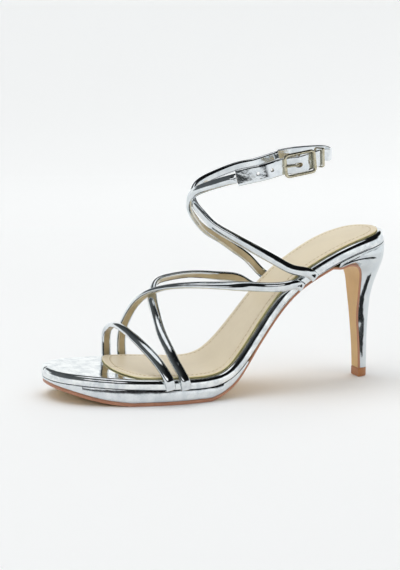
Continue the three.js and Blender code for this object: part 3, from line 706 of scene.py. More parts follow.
def rounded(rows, count):
    """A smooth profile through the rows of a table, with count steps."""
    rows = np.array(rows, float)
    runs = np.r_[0, np.cumsum(np.linalg.norm(np.diff(rows, axis=0), axis=1))]
    places = np.linspace(0, runs[-1], count)
    return np.stack([spline(runs, column)(places) for column in rows.T], -1)


def around(lateral, medial, across):
    """Rings of a layer: up its lateral side, over to the medial side, down and back below."""
    step = np.linspace(0, 1, across + 1)[1:-1, None]
    top = mix(lateral[:, -1:], medial[:, -1:], step)
    bottom = mix(medial[:, :1], lateral[:, :1], step)
    return np.hstack([lateral, top, medial[:, ::-1], bottom])


def slab_rings(turns, levels, place, across=22):
    """Rings round a layer of the foot. Levels go from the bottom up: inset and share."""
    inset, share = np.asarray(levels, float).T
    turns = np.asarray(turns)[:, None]
    share = np.broadcast_to(share, (len(turns), len(inset)))
    lateral, medial = (np.stack([*edge(side, turns, inset), share], -1) for side in (-1, 1))
    return place(*np.moveaxis(around(lateral, medial, across), -1, 0))


def joined(lateral, medial):
    """One ring from two halves that both run from the front to the back."""
    return np.vstack([lateral, medial[::-1]])


FOOT_TURNS = np.linspace(0, 1, 181)
print("foot layers have", len(FOOT_TURNS), "stations")

# %% [markdown]
# The footbed board is stiff fibreboard in the curve of the last, wrapped in foil. Its upright
# side ends in a full round rim where the foil turns over onto the top. The side profile is a
# short table that a spline rounds off.

# %% Footbed board
BOARD_SIDE = [
    (1.2, 6.30),
    (0.35, 5.92),
    (0.0, 5.04),
    (0.0, 2.40),
    (0.45, 1.07),
    (1.4, 0.25),
    (2.7, 0.0),
]


def board_place(x, y, depth):
    return on_board(x, y, depth / BOARD_THICK * board_depth(x))


board = Skin([foil_board_painted_lighter])
board.loft(slab_rings(FOOT_TURNS, rounded(BOARD_SIDE, 22), board_place))
board.build("footbed_board_wrapped", "footbed_board", "mirror_foil")

# %% [markdown]
# The platform is a slab of cork or foam under the forefoot, wrapped in the same foil. It is
# thickest under the ball and runs out to nothing in the arch.

# %% Platform
PLATFORM_SIDE = [
    (PLATFORM_INSET + 0.7, 1.0),
    (PLATFORM_INSET + 0.2, 0.93),
    (PLATFORM_INSET, 0.82),
    (PLATFORM_INSET, 0.06),
    (PLATFORM_INSET + 0.25, 0.0),
]


def platform_place(x, y, share):
    depth = mix(board_depth(x) + SEAM, sole_top_depth(x) - SEAM, share)
    return on_board(x, y, depth, SOLE_THICK + SEAM + 6 * (1 - share))


platform_turns = np.linspace(0, turn_at(PLATFORM_END), 120)
platform = Skin([foil_platform])
platform.loft(slab_rings(platform_turns, PLATFORM_SIDE, platform_place))
platform.build("platform_wrapped", "platform", "mirror_foil")

# %% [markdown]
# The outsole lies under all of this, and behind the arch it leaves the board and runs on down
# the front of the heel as one thin flap. Its outer face is one smooth line in the middle plane
# of the shoe, and two half widths follow that line.

# %% Lines through points and the flap's path
BREAST = columns(
    "along up lateral medial",
    (0.8335, 0.761, -0.605, 0.505),
    (0.8580, 0.771, -0.560, 0.470),
    (0.8850, 0.767, -0.485, 0.410),
    (0.9036, 0.745, -0.405, 0.345),
    (0.9140, 0.705, -0.335, 0.285),
    (0.9175, 0.655, -0.290, 0.240),
    (0.9187, 0.587, -0.253, 0.203),
    (0.9197, 0.514, -0.213, 0.163),
    (0.9215, 0.422, -0.168, 0.120),
    (0.9246, 0.339, -0.156, 0.108),
    (0.9300, 0.200, -0.151, 0.103),
)
BREAST_FOOT = {"along": 0.9330, "lateral": -0.149, "medial": 0.101}
HEEL_FOOT = TIP_HEIGHT + SEAM
FLAP_LEAD = np.linspace(FLAP_START - 0.09, FLAP_START, 4)


class Line:
    """A smooth line through points, measured by its run in millimetres."""

    def __init__(self, points):
        points = np.asarray(points, float)
        self.runs = np.r_[0, np.cumsum(np.linalg.norm(np.diff(points, axis=0), axis=1))]
        self.end = self.runs[-1]
        self.axes = [spline(self.runs, axis) for axis in points.T]

    def at(self, run):
        return np.stack([axis(run) for axis in self.axes], -1)

    def heading(self, run):
        ahead = self.at(np.minimum(run + 0.1, self.end)) - self.at(np.maximum(run - 0.1, 0))
        return unit(ahead)


def unit(vectors):
    return vectors / np.linalg.norm(vectors, axis=-1, keepdims=True)


lead_x = FLAP_LEAD * LENGTH
flap_line = Line(np.vstack([
    on_board(lead_x, 0, sole_top_depth(lead_x) + sole_depth(lead_x)),
    np.stack([BREAST["along"] * LENGTH, 0 * BREAST["up"], BREAST["up"] * HEEL_HEIGHT], -1),
    [(BREAST_FOOT["along"] * LENGTH, 0, TIP_HEIGHT + GAP)],
]))
flap_half = {
    side: spline(flap_line.runs, np.r_[
        edge(side, turn_at(FLAP_LEAD), SOLE_INSET)[1],
        HALF_BALL * np.r_[BREAST[name], BREAST_FOOT[name]],
    ])
    for side, name in ((-1, "lateral"), (1, "medial"))
}
flap_from = flap_line.runs[len(FLAP_LEAD) - 1]
FLAP_RUNS = np.linspace(flap_from, flap_line.end, 121)[1:]


def on_flap(run, side, inset, lift):
    """A point at one side edge of the flap, lifted square off its outer face."""
    heading = flap_line.heading(run)
    point = flap_line.at(run)
    y = flap_half[side](run) - side * inset
    x = point[..., 0] - heading[..., 2] * lift
    return np.stack(np.broadcast_arrays(x, y, point[..., 2] + heading[..., 0] * lift), -1)


print("flap runs", round(float(flap_line.end - flap_from)), "mm down to the heel tip")

# %% [markdown]
# The edge of the outsole is stained brown and its face is tan, so the rings carry two finishes:
# one for the columns of the edge and one for the face. Both belong to one sheet.

# %% Outsole
SOLE_SIDE = [
    (0.45, 0.0),
    (0.12, 0.08),
    (0.0, 0.25),
    (0.0, 0.85),
    (0.07, 0.95),
    (0.25, 1.0),
]
SOLE_ACROSS = 22


def sole_place(x, y, up):
    return on_board(x, y, sole_top_depth(x) + (1 - up) * sole_depth(x), up * SOLE_THICK)


def flap_rings():
    inset, up = np.array(SOLE_SIDE).T
    run, lift = FLAP_RUNS[:, None], up * WAIST_SOLE_THICK
    return around(on_flap(run, -1, inset, lift), on_flap(run, 1, inset, lift), SOLE_ACROSS)


EDGE, FACE = 0, 1
sole_turns = np.linspace(0, turn_at(FLAP_START), 150)
sole_rings = np.vstack([
    slab_rings(sole_turns, np.array(SOLE_SIDE) + (SOLE_INSET, 0), sole_place, SOLE_ACROSS),
    flap_rings(),
])
sole_columns = 2 * ([EDGE] * (len(SOLE_SIDE) - 1) + [FACE] * SOLE_ACROSS)
outsole = Skin([sole_edge, sole_face])
outsole.loft(sole_rings, sole_columns)
outsole.build("outsole_sheet", "outsole", "sole_leather")

# %% [markdown]
# The sock is a beige sheet with thin foam below, so it crowns a little and its cut edge shows
# paler. A row of stitches sinks into it near the edge, and a thicker pad lies under the heel.
# The groove and the pad are real relief, and each stitch is a small piece of thread.

# %% Sock
STITCH_INSET = SOCK_INSET + 4.2
SOCK_SIDE = [
    (0.25, 0.0),
    (0.0, 0.2),
    (0.0, 0.62),
    (0.16, 0.86),
    (0.6, 1.0),
    (1.6, 1.06),
    (2.6, 1.10),
    (3.6, 1.10),
    (3.95, 0.98),
    (4.2, 0.86),
    (4.45, 0.98),
    (4.8, 1.12),
    (6.0, 1.16),
    (8.0, 1.18),
]
SOCK_CUT_STEPS = 3
SOCK_ACROSS = 26
SOCK_MIDDLE = edge(1, np.array(0.0), 0)[1] - 0.25 * HALF_BALL


def sock_plan(inset):
    """x and y round the sock at one inset: rows along the shoe, lateral then medial."""
    angle = np.linspace(0, np.pi / 2, 40)
    front = SOCK_SETBACK + inset - SOCK_INSET + SOCK_FRONT_DEPTH * (1 - np.cos(angle))
    back_turns = np.linspace(turn_at((SOCK_SETBACK + SOCK_FRONT_DEPTH) / LENGTH), 1, 170)[1:]
    plan = {}
    for side in (-1, 1):
        edge_x, edge_y = edge(side, turn_at(front / LENGTH), inset)
        round_x = mix(front, edge_x, np.sin(angle))
        round_y = mix(SOCK_MIDDLE, edge_y, np.sin(angle))
        back_x, back_y = edge(side, back_turns, inset)
        plan[side] = np.stack([np.r_[round_x, back_x], np.r_[round_y, back_y]], -1)
    return plan


def sock_relief(x, y):
    """Height of the foam under the sock: a pad below the heel and a soft rise at the ball."""
    heel_pad = np.exp(-(((x - 0.83 * LENGTH) / 26) ** 2) - ((y + 1) / 13) ** 2)
    ball = np.exp(-(((x - 0.33 * LENGTH) / 26) ** 2) - ((y - 2) / 20) ** 2)
    return 0.35 * heel_pad + 0.25 * ball


def sock_rings():
    plans = [sock_plan(SOCK_INSET + inset) for inset, up in SOCK_SIDE]
    lateral, medial = (np.stack([plan[side] for plan in plans], 1) for side in (-1, 1))
    ups = np.array([up for inset, up in SOCK_SIDE])
    over, below = np.full(SOCK_ACROSS - 1, ups[-1]), np.zeros(SOCK_ACROSS - 1)
    share = np.r_[ups, over, ups[::-1], below]
    x, y = np.moveaxis(around(lateral, medial, SOCK_ACROSS), -1, 0)
    relief = sock_relief(x, y) * (share > 0.9)
    return on_board(x, y, -(SEAM + share * SOCK_THICK + relief))


TOP, CUT = 0, 1
top_columns = 2 * (len(SOCK_SIDE) - 1 - SOCK_CUT_STEPS) + SOCK_ACROSS
sock_columns = (
    [CUT] * SOCK_CUT_STEPS + [TOP] * top_columns + [CUT] * SOCK_CUT_STEPS + [TOP] * SOCK_ACROSS
)
sock = Skin([sock_beige, sock_edge])
sock.loft(sock_rings(), sock_columns)
sock_piece = sock.build("insole_sock", "insole", "sock_leather", sharp=60)

# %% [markdown]
# One stitch is a short round of thread that dips into its holes. The stitches are laid at equal
# steps along the groove, all in one mesh.

# %% Stitches of the sock
STITCH_PITCH = 3.0
STITCH_LONG = 2.1
THREAD_RADIUS = 0.17


def groove_line():
    plan = sock_plan(STITCH_INSET)
    points = np.vstack([plan[-1][::-1], plan[1][1:]])
    keep = np.r_[True, np.linalg.norm(np.diff(points, axis=0), axis=1) > 0.2]
    x, y = points[keep].T
    return Line(on_board(x, y, -(SEAM + 0.93 * SOCK_THICK)))


def add_stitch(skin, centre, heading, out):
    """A thread that arches over from one hole to the next."""
    side = np.cross(heading, out)
    rings = []
    for share in np.linspace(-1, 1, 7):
        middle = centre + heading * share * STITCH_LONG / 2 + out * 0.16 * (1 - 2 * share**4)
        radius = THREAD_RADIUS * (1 - 0.35 * share**4)
        angles = np.linspace(0, 2 * np.pi, 8, endpoint=False)[:, None]
        rings.append(middle + radius * (np.cos(angles) * side + np.sin(angles) * out))
    skin.loft(rings)


groove = groove_line()
stitches = Skin([thread])
for run in np.arange(STITCH_PITCH, groove.end - STITCH_PITCH, STITCH_PITCH):
    spot, heading = groove.at(run), groove.heading(run)
    slope = tilt(spot[0])
    add_stitch(stitches, spot, heading, np.array([-np.sin(slope), 0, np.cos(slope)]))
stitches.build("insole_stitches", "insole", "sock_leather")

# %% [markdown]
# The stiletto is a moulded heel covered in foil. Its top is cut to the underside of the board, its
# front is flat behind the flap, and each section runs round the back in a deepening D.

# %% Heel
HEEL_BACK = columns(
    "up along",
    (0.062, 0.9680),
    (0.200, 0.9674),
    (0.339, 0.9683),
    (0.422, 0.9701),
    (0.514, 0.9728),
    (0.587, 0.9763),
    (0.655, 0.9835),
    (0.717, 0.9911),
    (0.784, 0.9991),
    (0.844, 1.0049),
    (0.900, 1.0080),
)
back_along = spline(HEEL_BACK["up"], HEEL_BACK["along"])
HEEL_BELLY = 0.16
HEEL_STEPS = 40
HEEL_SECTIONS = 110
HEEL_FIRST_RUN = mix(flap_from, flap_line.end, 1 / 20)


def heel_seat(count):
    """The underside of the board from the heel breast back: lateral, then medial."""
    front_x = on_flap(HEEL_FIRST_RUN, 1, 0, WAIST_SOLE_THICK + GAP)[0]
    seat_x = front_x - np.sin(tilt(front_x)) * (board_depth(front_x) + GAP)
    turns = np.linspace(turn_at(seat_x / LENGTH), 1, count)
    sides = []
    for side in (-1, 1):
        x, y = edge(side, turns, HEEL_INSET)
        sides.append(on_board(x, y, board_depth(x) + SEAM))
    return sides


def heel_sections(runs):
    """Level rings of the heel, from the top down, each with its lateral and medial half."""
    angle = np.linspace(0, np.pi / 2, HEEL_STEPS)
    seat = heel_seat(HEEL_STEPS)
    seat_back = seat[0][-1]
    rings = []
    for run in runs:
        share = (run - runs[0]) / (flap_line.end - runs[0])
        fit = 1 - ease(0, 0.4, share)
        belly = HEEL_BELLY * np.sin(np.pi * min(share / 0.45, 1))
        back_z = mix(seat_back[2] - 0.8, HEEL_FOOT, share)
        back_x = back_along(back_z / HEEL_HEIGHT) * LENGTH
        back_y = mix(seat_back[1], HEEL_CENTRE, 1 - fit)
        halves = []
        for side, here in zip((-1, 1), seat):
            front = on_flap(run, side, 0, WAIST_SOLE_THICK + SEAM)
            seat_x = (here[:, 0] - here[0, 0]) / (seat_back[0] - here[0, 0])
            seat_y = (here[:, 1] - seat_back[1]) / (here[0, 1] - seat_back[1])
            share_x = mix(np.sin(angle), seat_x, fit)
            share_y = mix(np.cos(angle), seat_y, fit) + belly * np.sin(2 * angle)
            sag = here[:, 2] - mix(here[0, 2], seat_back[2], seat_x)
            halves.append(np.stack([
                mix(front[0], back_x, share_x),
                mix(back_y, front[1], share_y),
                mix(front[2], back_z, share_x) + fit * sag,
            ], -1))
        rings.append(joined(*halves))
    return rings


heel_runs = np.linspace(HEEL_FIRST_RUN, flap_line.end, HEEL_SECTIONS)
heel_rings = [joined(*heel_seat(HEEL_STEPS))] + heel_sections(heel_runs)
heel = Skin([foil_heel_painted_darker])
heel.loft(heel_rings)
heel.build("heel_wrapped", "heel", "mirror_foil")

# %% [markdown]
# The heel tip is a hard rubber block in the same D, with a small round along its lower edge.

# %% Heel tip
TIP_SIDE = [
    (0.7, 0.0),
    (0.25, 0.15),
    (0.0, 0.6),
    (0.0, TIP_HEIGHT - 0.5),
    (0.06, TIP_HEIGHT - 0.2),
    (0.3, TIP_HEIGHT),
]


def tip_rings(count=32):
    angle = np.linspace(0, np.pi / 2, count)
    front, back = BREAST_FOOT["along"] * LENGTH, TIP_BACK * LENGTH
    rings = []
    for inset, z in TIP_SIDE:
        halves = []
        for side in (-1, 1):
            half = abs(flap_half[side](flap_line.end) - HEEL_CENTRE) - inset
            halves.append(np.stack([
                mix(front + inset, back - inset, np.sin(angle)),
                HEEL_CENTRE + side * half * np.cos(angle),
                np.full(count, z),
            ], -1))
        rings.append(joined(*halves))
    return rings


tip = Skin([tip_brown])
tip.loft(tip_rings())
tip.build("heel_tip_block", "heel_tip", "tip_rubber")

# %% [markdown]
# The upper is five rolled straps: soft cord in a foil sleeve that is folded round it, with a
# lining glued flat inside. Each runs over the foot from one side of the board to the other. A
# strap's route is a short table: along the shoe, across it, and over the board.

# %% Strap routes
TOE_ROUTE = [
    (0.281, -0.942, 0.069),
    (0.270, -0.814, 0.140),
    (0.255, -0.586, 0.222),
    (0.241, -0.304, 0.290),
    (0.231, 0.021, 0.334),
    (0.223, 0.341, 0.349),
    (0.220, 0.672, 0.308),
    (0.221, 0.893, 0.208),
    (0.226, 0.995, 0.105),
]
INSTEP_OVER = [
    (0.660, -0.715, 0.034),
    (0.617, -0.617, 0.164),
    (0.534, -0.471, 0.508),
    (0.456, -0.269, 0.724),
    (0.381, 0.002, 0.732),
    (0.324, 0.268, 0.665),
    (0.297, 0.524, 0.561),
    (0.282, 0.792, 0.399),
    (0.274, 0.930, 0.265),
    (0.273, 1.005, 0.120),
]
INSTEP_UNDER = [
    (0.329, -0.966, 0.055),
    (0.321, -0.849, 0.125),
    (0.313, -0.690, 0.223),
    (0.307, -0.478, 0.328),
    (0.308, -0.251, 0.425),
    (0.316, 0.084, 0.533),
    (0.325, 0.340, 0.632),
    (0.345, 0.493, 0.721),
    (0.386, 0.564, 0.758),
    (0.442, 0.598, 0.758),
    (0.504, 0.599, 0.631),
    (0.557, 0.573, 0.408),
    (0.605, 0.540, 0.185),
]
ANKLE_UNDER = [
    (0.680, -0.670, 0.113),
    (0.642, -0.614, 0.289),
    (0.570, -0.480, 0.694),
    (0.502, -0.280, 1.079),
    (0.471, -0.147, 1.227),
    (0.452, -0.017, 1.333),
    (0.439, 0.110, 1.415),
    (0.436, 0.220, 1.487),
    (0.447, 0.341, 1.552),
    (0.477, 0.474, 1.566),
    (0.518, 0.597, 1.486),
    (0.571, 0.704, 1.323),
    (0.617, 0.757, 1.174),
    (0.660, 0.775, 1.048),
    (0.701, 0.756, 0.976),
    (0.739, 0.692, 0.937),
    (0.778, 0.566, 0.896),
    (0.813, 0.362, 0.861),
    (0.831, 0.184, 0.845),
    (0.836, 0.003, 0.835),
    (0.825, -0.190, 0.838),
]
ANKLE_OVER = [
    (0.633, 0.558, 0.266),
    (0.585, 0.559, 0.558),
    (0.540, 0.520, 0.832),
    (0.488, 0.445, 1.105),
    (0.455, 0.366, 1.261),
    (0.431, 0.274, 1.387),
    (0.423, 0.140, 1.496),
    (0.425, -0.018, 1.557),
    (0.441, -0.204, 1.600),
    (0.472, -0.405, 1.616),
    (0.504, -0.558, 1.576),
    (0.540, -0.671, 1.479),
    (0.585, -0.756, 1.332),
]
STRAP_GAP = 0.45
LOW, HIGH = 0.93, 0.3


def route(rows):
    along, across, over = np.array(rows, float).T
    x = along * LENGTH
    return np.stack([x, across * HALF_BALL, board_top(x) + over * INSTEP_HEIGHT], -1)


def beside(side, *spots):
    """Where a strap lies flat against the side of the board: along, share of the way down."""
    along, share = np.array(spots, float).T
    x, y = edge(side, turn_at(along), -STRAP_GAP - STRAP_THICK / 2)
    return on_board(x, y, share * board_depth(x))


def over_foot(lift):
    """The outer face of a strap looks away from the middle of the foot."""

    def facing(points):
        above = points[:, 2] - board_top(points[:, 0]) - lift * INSTEP_HEIGHT
        return np.stack([0 * above, points[:, 1], np.maximum(above, 0)], -1)

    return facing


LEG_ALONG = 0.66


def round_leg(points):
    """Higher up the outer face looks away from the leg."""
    height = (points[:, 2] - board_top(points[:, 0])) / INSTEP_HEIGHT
    away = (points[:, 0] - LEG_ALONG * LENGTH) * ease(0.1, 1, height)
    return np.stack([away, points[:, 1], 0 * height], -1)


def square_to(heading, facing):
    return unit(facing - heading * np.sum(facing * heading, -1, keepdims=True))


print("toe strap is about", round(float(Line(route(TOE_ROUTE)).end)), "mm over the toes")

# %% [markdown]
# The buckle has its own small frame of directions: reach counts back along the strap from its
# centre bar, out points away from the leg, and up runs along the bar.

# %% The buckle's place and the ankle lines
BUCKLE_SPOT = [(0.685, -0.763, 1.052)]
BUCKLE_AHEAD = [(0.631, -0.783, 1.193), (0.736, -0.687, 0.964)]
BUCKLE_REACH = 10.8
BUCKLE_ALLOWANCE = 0.3
KEEPER_REACH = 19.5
KEEPER_WIDTH = 2.6
KEEPER_THICK = 0.8
KEEPER_CORNER = 0.8
TAIL_REACH = 23
WIRE_RADIUS = 1.0
FRAME_CORNER = 2.4
BAR_RADIUS = 0.6
PRONG_RADIUS = 0.6
EYE_THICK = 0.8
BAR_OUT = -0.8
BILLET_RISE = FLAT_THICK / 2 + GAP
BILLET_TOP = BAR_OUT + BAR_RADIUS + GAP + EYE_THICK + BILLET_RISE

buckle_centre = route(BUCKLE_SPOT)[0]
ahead_low, ahead_high = route(BUCKLE_AHEAD)
buckle_heading = unit(ahead_high - ahead_low)
buckle_out = square_to(buckle_heading, round_leg(buckle_centre[None])[0])
buckle_up = np.cross(buckle_out, buckle_heading)


def at_buckle(reach, out, up=0.0):
    reach, out, up = np.broadcast_arrays(reach, out, up)
    spread = reach[..., None] * buckle_heading + out[..., None] * buckle_out
    return buckle_centre + spread + up[..., None] * buckle_up


BAND_REACH = columns(
    "reach out",
    (24.5, -11.8),
    (KEEPER_REACH, -8.6),
    (15.0, -6.7),
    (BUCKLE_REACH, -5.1),
    (4.6, -2.9),
    (1.2, -1.9),
    (0.0, -1.7),
)
BILLET_REACH = columns(
    "reach out",
    (-BUCKLE_REACH, -WIRE_RADIUS - BILLET_RISE),
    (-BUCKLE_REACH / 2, 0.1),
    (0, BILLET_TOP),
    (BUCKLE_REACH / 2, 0.0),
    (BUCKLE_REACH, -WIRE_RADIUS - BILLET_RISE - 0.1),
    (15.0, -4.0),
    (KEEPER_REACH, -6.1),
    (TAIL_REACH, -8.0),
)
ankle_over_line = Line(np.vstack([
    beside(1, (0.682, LOW), (0.676, HIGH)),
    route(ANKLE_OVER),
    at_buckle(BILLET_REACH["reach"], BILLET_REACH["out"]),
]))
ankle_under_line = Line(np.vstack([
    beside(-1, (0.731, LOW), (0.724, HIGH)),
    route(ANKLE_UNDER),
    at_buckle(BAND_REACH["reach"], BAND_REACH["out"]),
]))


def through_buckle(points):
    """Where billet and band pass through the buckle they lie parallel to it."""
    far = np.linalg.norm(points - buckle_centre, axis=-1)
    away = ease(BUCKLE_REACH, 1.5 * BUCKLE_REACH, far)[:, None]
    return mix(buckle_out, unit(round_leg(points)), away)


def run_at(line, along, side):
    """Run at which a line passes a place along the shoe, high up on one side of it."""
    runs = np.linspace(0, line.end, 601)
    points = line.at(runs)
    fits = (points[:, 1] * side > 0.2 * HALF_BALL) & (points[:, 2] > HEEL_HEIGHT)
    miss = np.where(fits, np.abs(points[:, 0] - along * LENGTH), np.inf)
    return runs[np.argmin(miss)]


billet_from = run_at(ankle_over_line, 0.508, -1)
band_from = run_at(ankle_under_line, 0.735, 1)
print("billet", round(float(ankle_over_line.end - billet_from)), "mm long")

# %% [markdown]
# A rolled strap has a D section: round outside, folded edges, flat lining inside. The section is
# half of a rounded curve and a flat, worked out once and carried along the route. Where a strap
# goes into the side of the shoe the cord stops, so it flattens and gathers into small folds.


# %% Rolled straps
LINING_COLUMNS = 7
PLEAT_DEEP = 0.12
PLEAT_WIDE = 2.2
PLEAT_LONG = 7.0
PRESS_LONG = 6
STRAP_STEP = 0.7


def rolled_section(width, thick):
    """Points round the D: lining first, then the folded edge and the round outer face."""
    flat = np.linspace(-0.27, 0.27, LINING_COLUMNS + 1)
    lining = np.stack([flat, np.full(len(flat), -0.5)], -1)
    angle = np.linspace(-0.31 * np.pi, 1.31 * np.pi, 40)
    cosine, sine = np.cos(angle), np.sin(angle)
    across = 0.5 * np.sign(cosine) * np.abs(cosine) ** 0.92
    out = np.where(sine > 0, -0.16 + 0.66 * np.abs(sine), -0.16 + 0.54 * sine)
    return np.vstack([lining, np.stack([across, out], -1)]) * (width, thick)


def pleats(run, end, across, seed):
    """Depth of the small gathers that run lengthwise out of both ends of a strap."""
    near_end = np.exp(-((run / PLEAT_LONG) ** 2)) + np.exp(-(((end - run) / PLEAT_LONG) ** 2))
    wave = 0.5 + 0.5 * np.cos(2 * np.pi * across / PLEAT_WIDE + 1.9 * seed + 0.12 * run)
    return PLEAT_DEEP * near_end * wave


def pressed(runs, end, out, tucked):
    """Flatten a rolled strap at its ends: into the side of the shoe, or under a flat strap."""
    lining = -STRAP_THICK / 2
    for away in (runs, end - runs) if tucked else (runs,):
        side = 1 - ease(0, PRESS_LONG, away)[:, None]
        out = lining + (out - lining) * (1 - 0.5 * side) - 0.3 * side
    if not tucked:
        flat = ease(end - 4, end, runs)[:, None]
        out = out * (1 - 0.55 * flat)
    return out


def strap_rings(line, start, end, section, facing, seed=None, tucked=False):
    """Carry a section along part of a line, its outer face turned by facing. A seed gathers it."""
    runs = np.linspace(start, end, int((end - start) / STRAP_STEP) + 1)
    points, heading = line.at(runs), line.heading(runs)
    out = square_to(heading, facing(points))
    across = np.cross(heading, out)
    a, b = section.T
    b = np.broadcast_to(b, (len(runs), len(b)))
    if seed is not None:
        outside = ease(-0.1, 0.6, b / STRAP_THICK)
        b = b - outside * pleats(runs[:, None], end, a, seed)
        b = pressed(runs, end, b, tucked)
    a = np.broadcast_to(a, b.shape)
    return points[:, None] + a[..., None] * across[:, None] + b[..., None] * out[:, None]


D_SECTION = rolled_section(STRAP_WIDTH, STRAP_THICK)
STRAP_COLUMNS = [1] * LINING_COLUMNS + [0] * (len(D_SECTION) - LINING_COLUMNS)


def rolled_strap(name, node, line, end, facing, seed, tucked=True, lining_end=1000):
    """A strap in foil whose lining stops at lining_end. A tucked one ends in the shoe twice."""
    skin = Skin([foil_strap, lining_tan])
    rings = strap_rings(line, 0, end, D_SECTION, facing, seed, tucked)
    lined = np.arange(len(rings))[:, None] * STRAP_STEP < lining_end
    skin.loft(rings, np.array(STRAP_COLUMNS) * lined)
    return skin.build(name, node, "mirror_foil", sharp=50)


toe_line = Line(np.vstack([
    beside(-1, (0.299, LOW), (0.294, HIGH)),
    route(TOE_ROUTE),
    beside(1, (0.230, HIGH), (0.234, LOW)),
]))
instep_over_line = Line(np.vstack([
    beside(-1, (0.690, LOW), (0.682, HIGH)),
    route(INSTEP_OVER),
    beside(1, (0.275, HIGH), (0.278, LOW)),
]))
instep_under_line = Line(np.vstack([
    beside(-1, (0.341, LOW), (0.337, HIGH)),
    route(INSTEP_UNDER),
    beside(1, (0.640, HIGH), (0.648, LOW)),
]))
rolled_strap("toe_strap_rolled", "toe_strap", toe_line, toe_line.end, over_foot(0.12), 1)
for name, line, seed in (("over", instep_over_line, 2), ("under", instep_under_line, 3)):
    rolled_strap(f"instep_strap_{name}", "instep_straps", line, line.end, over_foot(0.4), seed)
ankle_ends = (("over", ankle_over_line, billet_from, 4), ("under", ankle_under_line, band_from, 5))
for name, line, end, seed in ankle_ends:
    rolled_strap(
        f"ankle_strap_{name}", "ankle_straps", line, end + 0.6, round_leg, seed, False, 0.62 * end
    )

# %% [markdown]
# The back of the ankle has a flat band, and the front strap ends in a flat billet with punched
# holes. Both are two layers of foil-faced synthetic with a rounded edge. A hole is made by
# leaving a square patch out of the sheet and filling it with rings that go from the square to
# the circle, which keeps the surface round it smooth. A boolean cut would leave long faces.


# %% Flat band and billet
ROUND_STEPS = 7


def flat_section(width, thick, rows=11):
    """Top rows, a round edge, bottom rows, the other edge."""
    half, radius = width / 2, thick / 2
    inner = half - 0.55 * radius
    row = np.linspace(inner, -inner, rows)
    angle = np.linspace(np.pi / 2, -np.pi / 2, ROUND_STEPS + 2)[1:-1]
    edge_across, edge_out = 0.55 * radius * np.cos(angle), radius * np.sin(angle)
    return np.vstack([
        np.stack([row, np.full(rows, radius)], -1),
        np.stack([-inner - edge_across, edge_out], -1),
        np.stack([-row, np.full(rows, -radius)], -1),
        np.stack([inner + edge_across[::-1], edge_out[::-1]], -1),
    ])


band_section = flat_section(BAND_WIDTH, FLAT_THICK)
band = Skin([foil_flat, lining_tan])
band_end = ankle_under_line.end - 2.2
band.loft(strap_rings(ankle_under_line, band_from, band_end, band_section, through_buckle))


def band_tab(skin, middle):
    """One of the two tongues of the band that wrap round the centre bar."""
    radius = BAR_RADIUS + GAP / 2 + EYE_THICK / 2
    turns = np.linspace(-0.5 * np.pi, 0.62 * np.pi, 24)
    wrap = [(radius * np.cos(t), BAR_OUT + radius * np.sin(t)) for t in -turns]
    tail = ankle_under_line.at(band_end) - buckle_centre
    start = (tail @ buckle_heading, tail @ buckle_out)
    path = np.array([start, (1.2, -2.1)] + [(-reach, out) for reach, out in wrap[::-1]])
    ahead = unit(np.gradient(path, axis=0))
    normal = np.stack([-ahead[:, 1], ahead[:, 0]], -1)
    section = flat_section(2.3, EYE_THICK, 5)
    rings = []
    for spot, side in zip(path, normal):
        reach = spot[0] + side[0] * section[:, 1]
        out = spot[1] + side[1] * section[:, 1]
        rings.append(at_buckle(reach, out, middle + section[:, 0]))
    skin.loft(rings)


for middle in (-2.35, 2.35):
    band_tab(band, middle)
band.build("ankle_band_flat", "ankle_band", "mirror_foil", sharp=50)

HOLE_RADIUS = 0.9
HOLE_PITCH = 8.8
HOLE_OFFSET = -2.2
HOLE_PLACES = (-3, -2, -1, 0, 1)
HOLE_LIP = 0.12
USED_HOLE = (2.2, 1.3)
CELL = 1.1
BILLET_ROWS = 9


def hole_patch(half_long, half_wide, size):
    """Rings from a circle or oval out to a square of whole cells, size cells to each side."""
    steps = np.arange(-size, size)
    square = np.array(
        [(step, -size) for step in steps]
        + [(size, step) for step in steps]
        + [(-step, size) for step in steps]
        + [(-size, -step) for step in steps]
    )
    angle = np.arctan2(square[:, 1], square[:, 0])
    oval = np.stack([half_long * np.cos(angle), half_wide * np.sin(angle)], -1)
    return square, [mix(oval, square * CELL, share) for share in (0, 0.08, 0.3, 0.62)]


def on_billet(run, across, out):
    """Points of the billet, which narrows to a round free end."""
    run, across, out = np.broadcast_arrays(run, across, out)
    flat_run = run.ravel().astype(float)
    points, heading = ankle_over_line.at(flat_run), ankle_over_line.heading(flat_run)
    face = square_to(heading, through_buckle(points))
    side = np.cross(heading, face)
    left = np.clip((ankle_over_line.end - flat_run) / (0.5 * BILLET_WIDTH), 0, 1)
    narrow = 0.55 + 0.45 * np.sqrt(1 - (1 - left) ** 2)
    spread = (across.ravel() * narrow)[:, None] * side + out.ravel()[:, None] * face
    return (points + spread).reshape(*run.shape, 3)


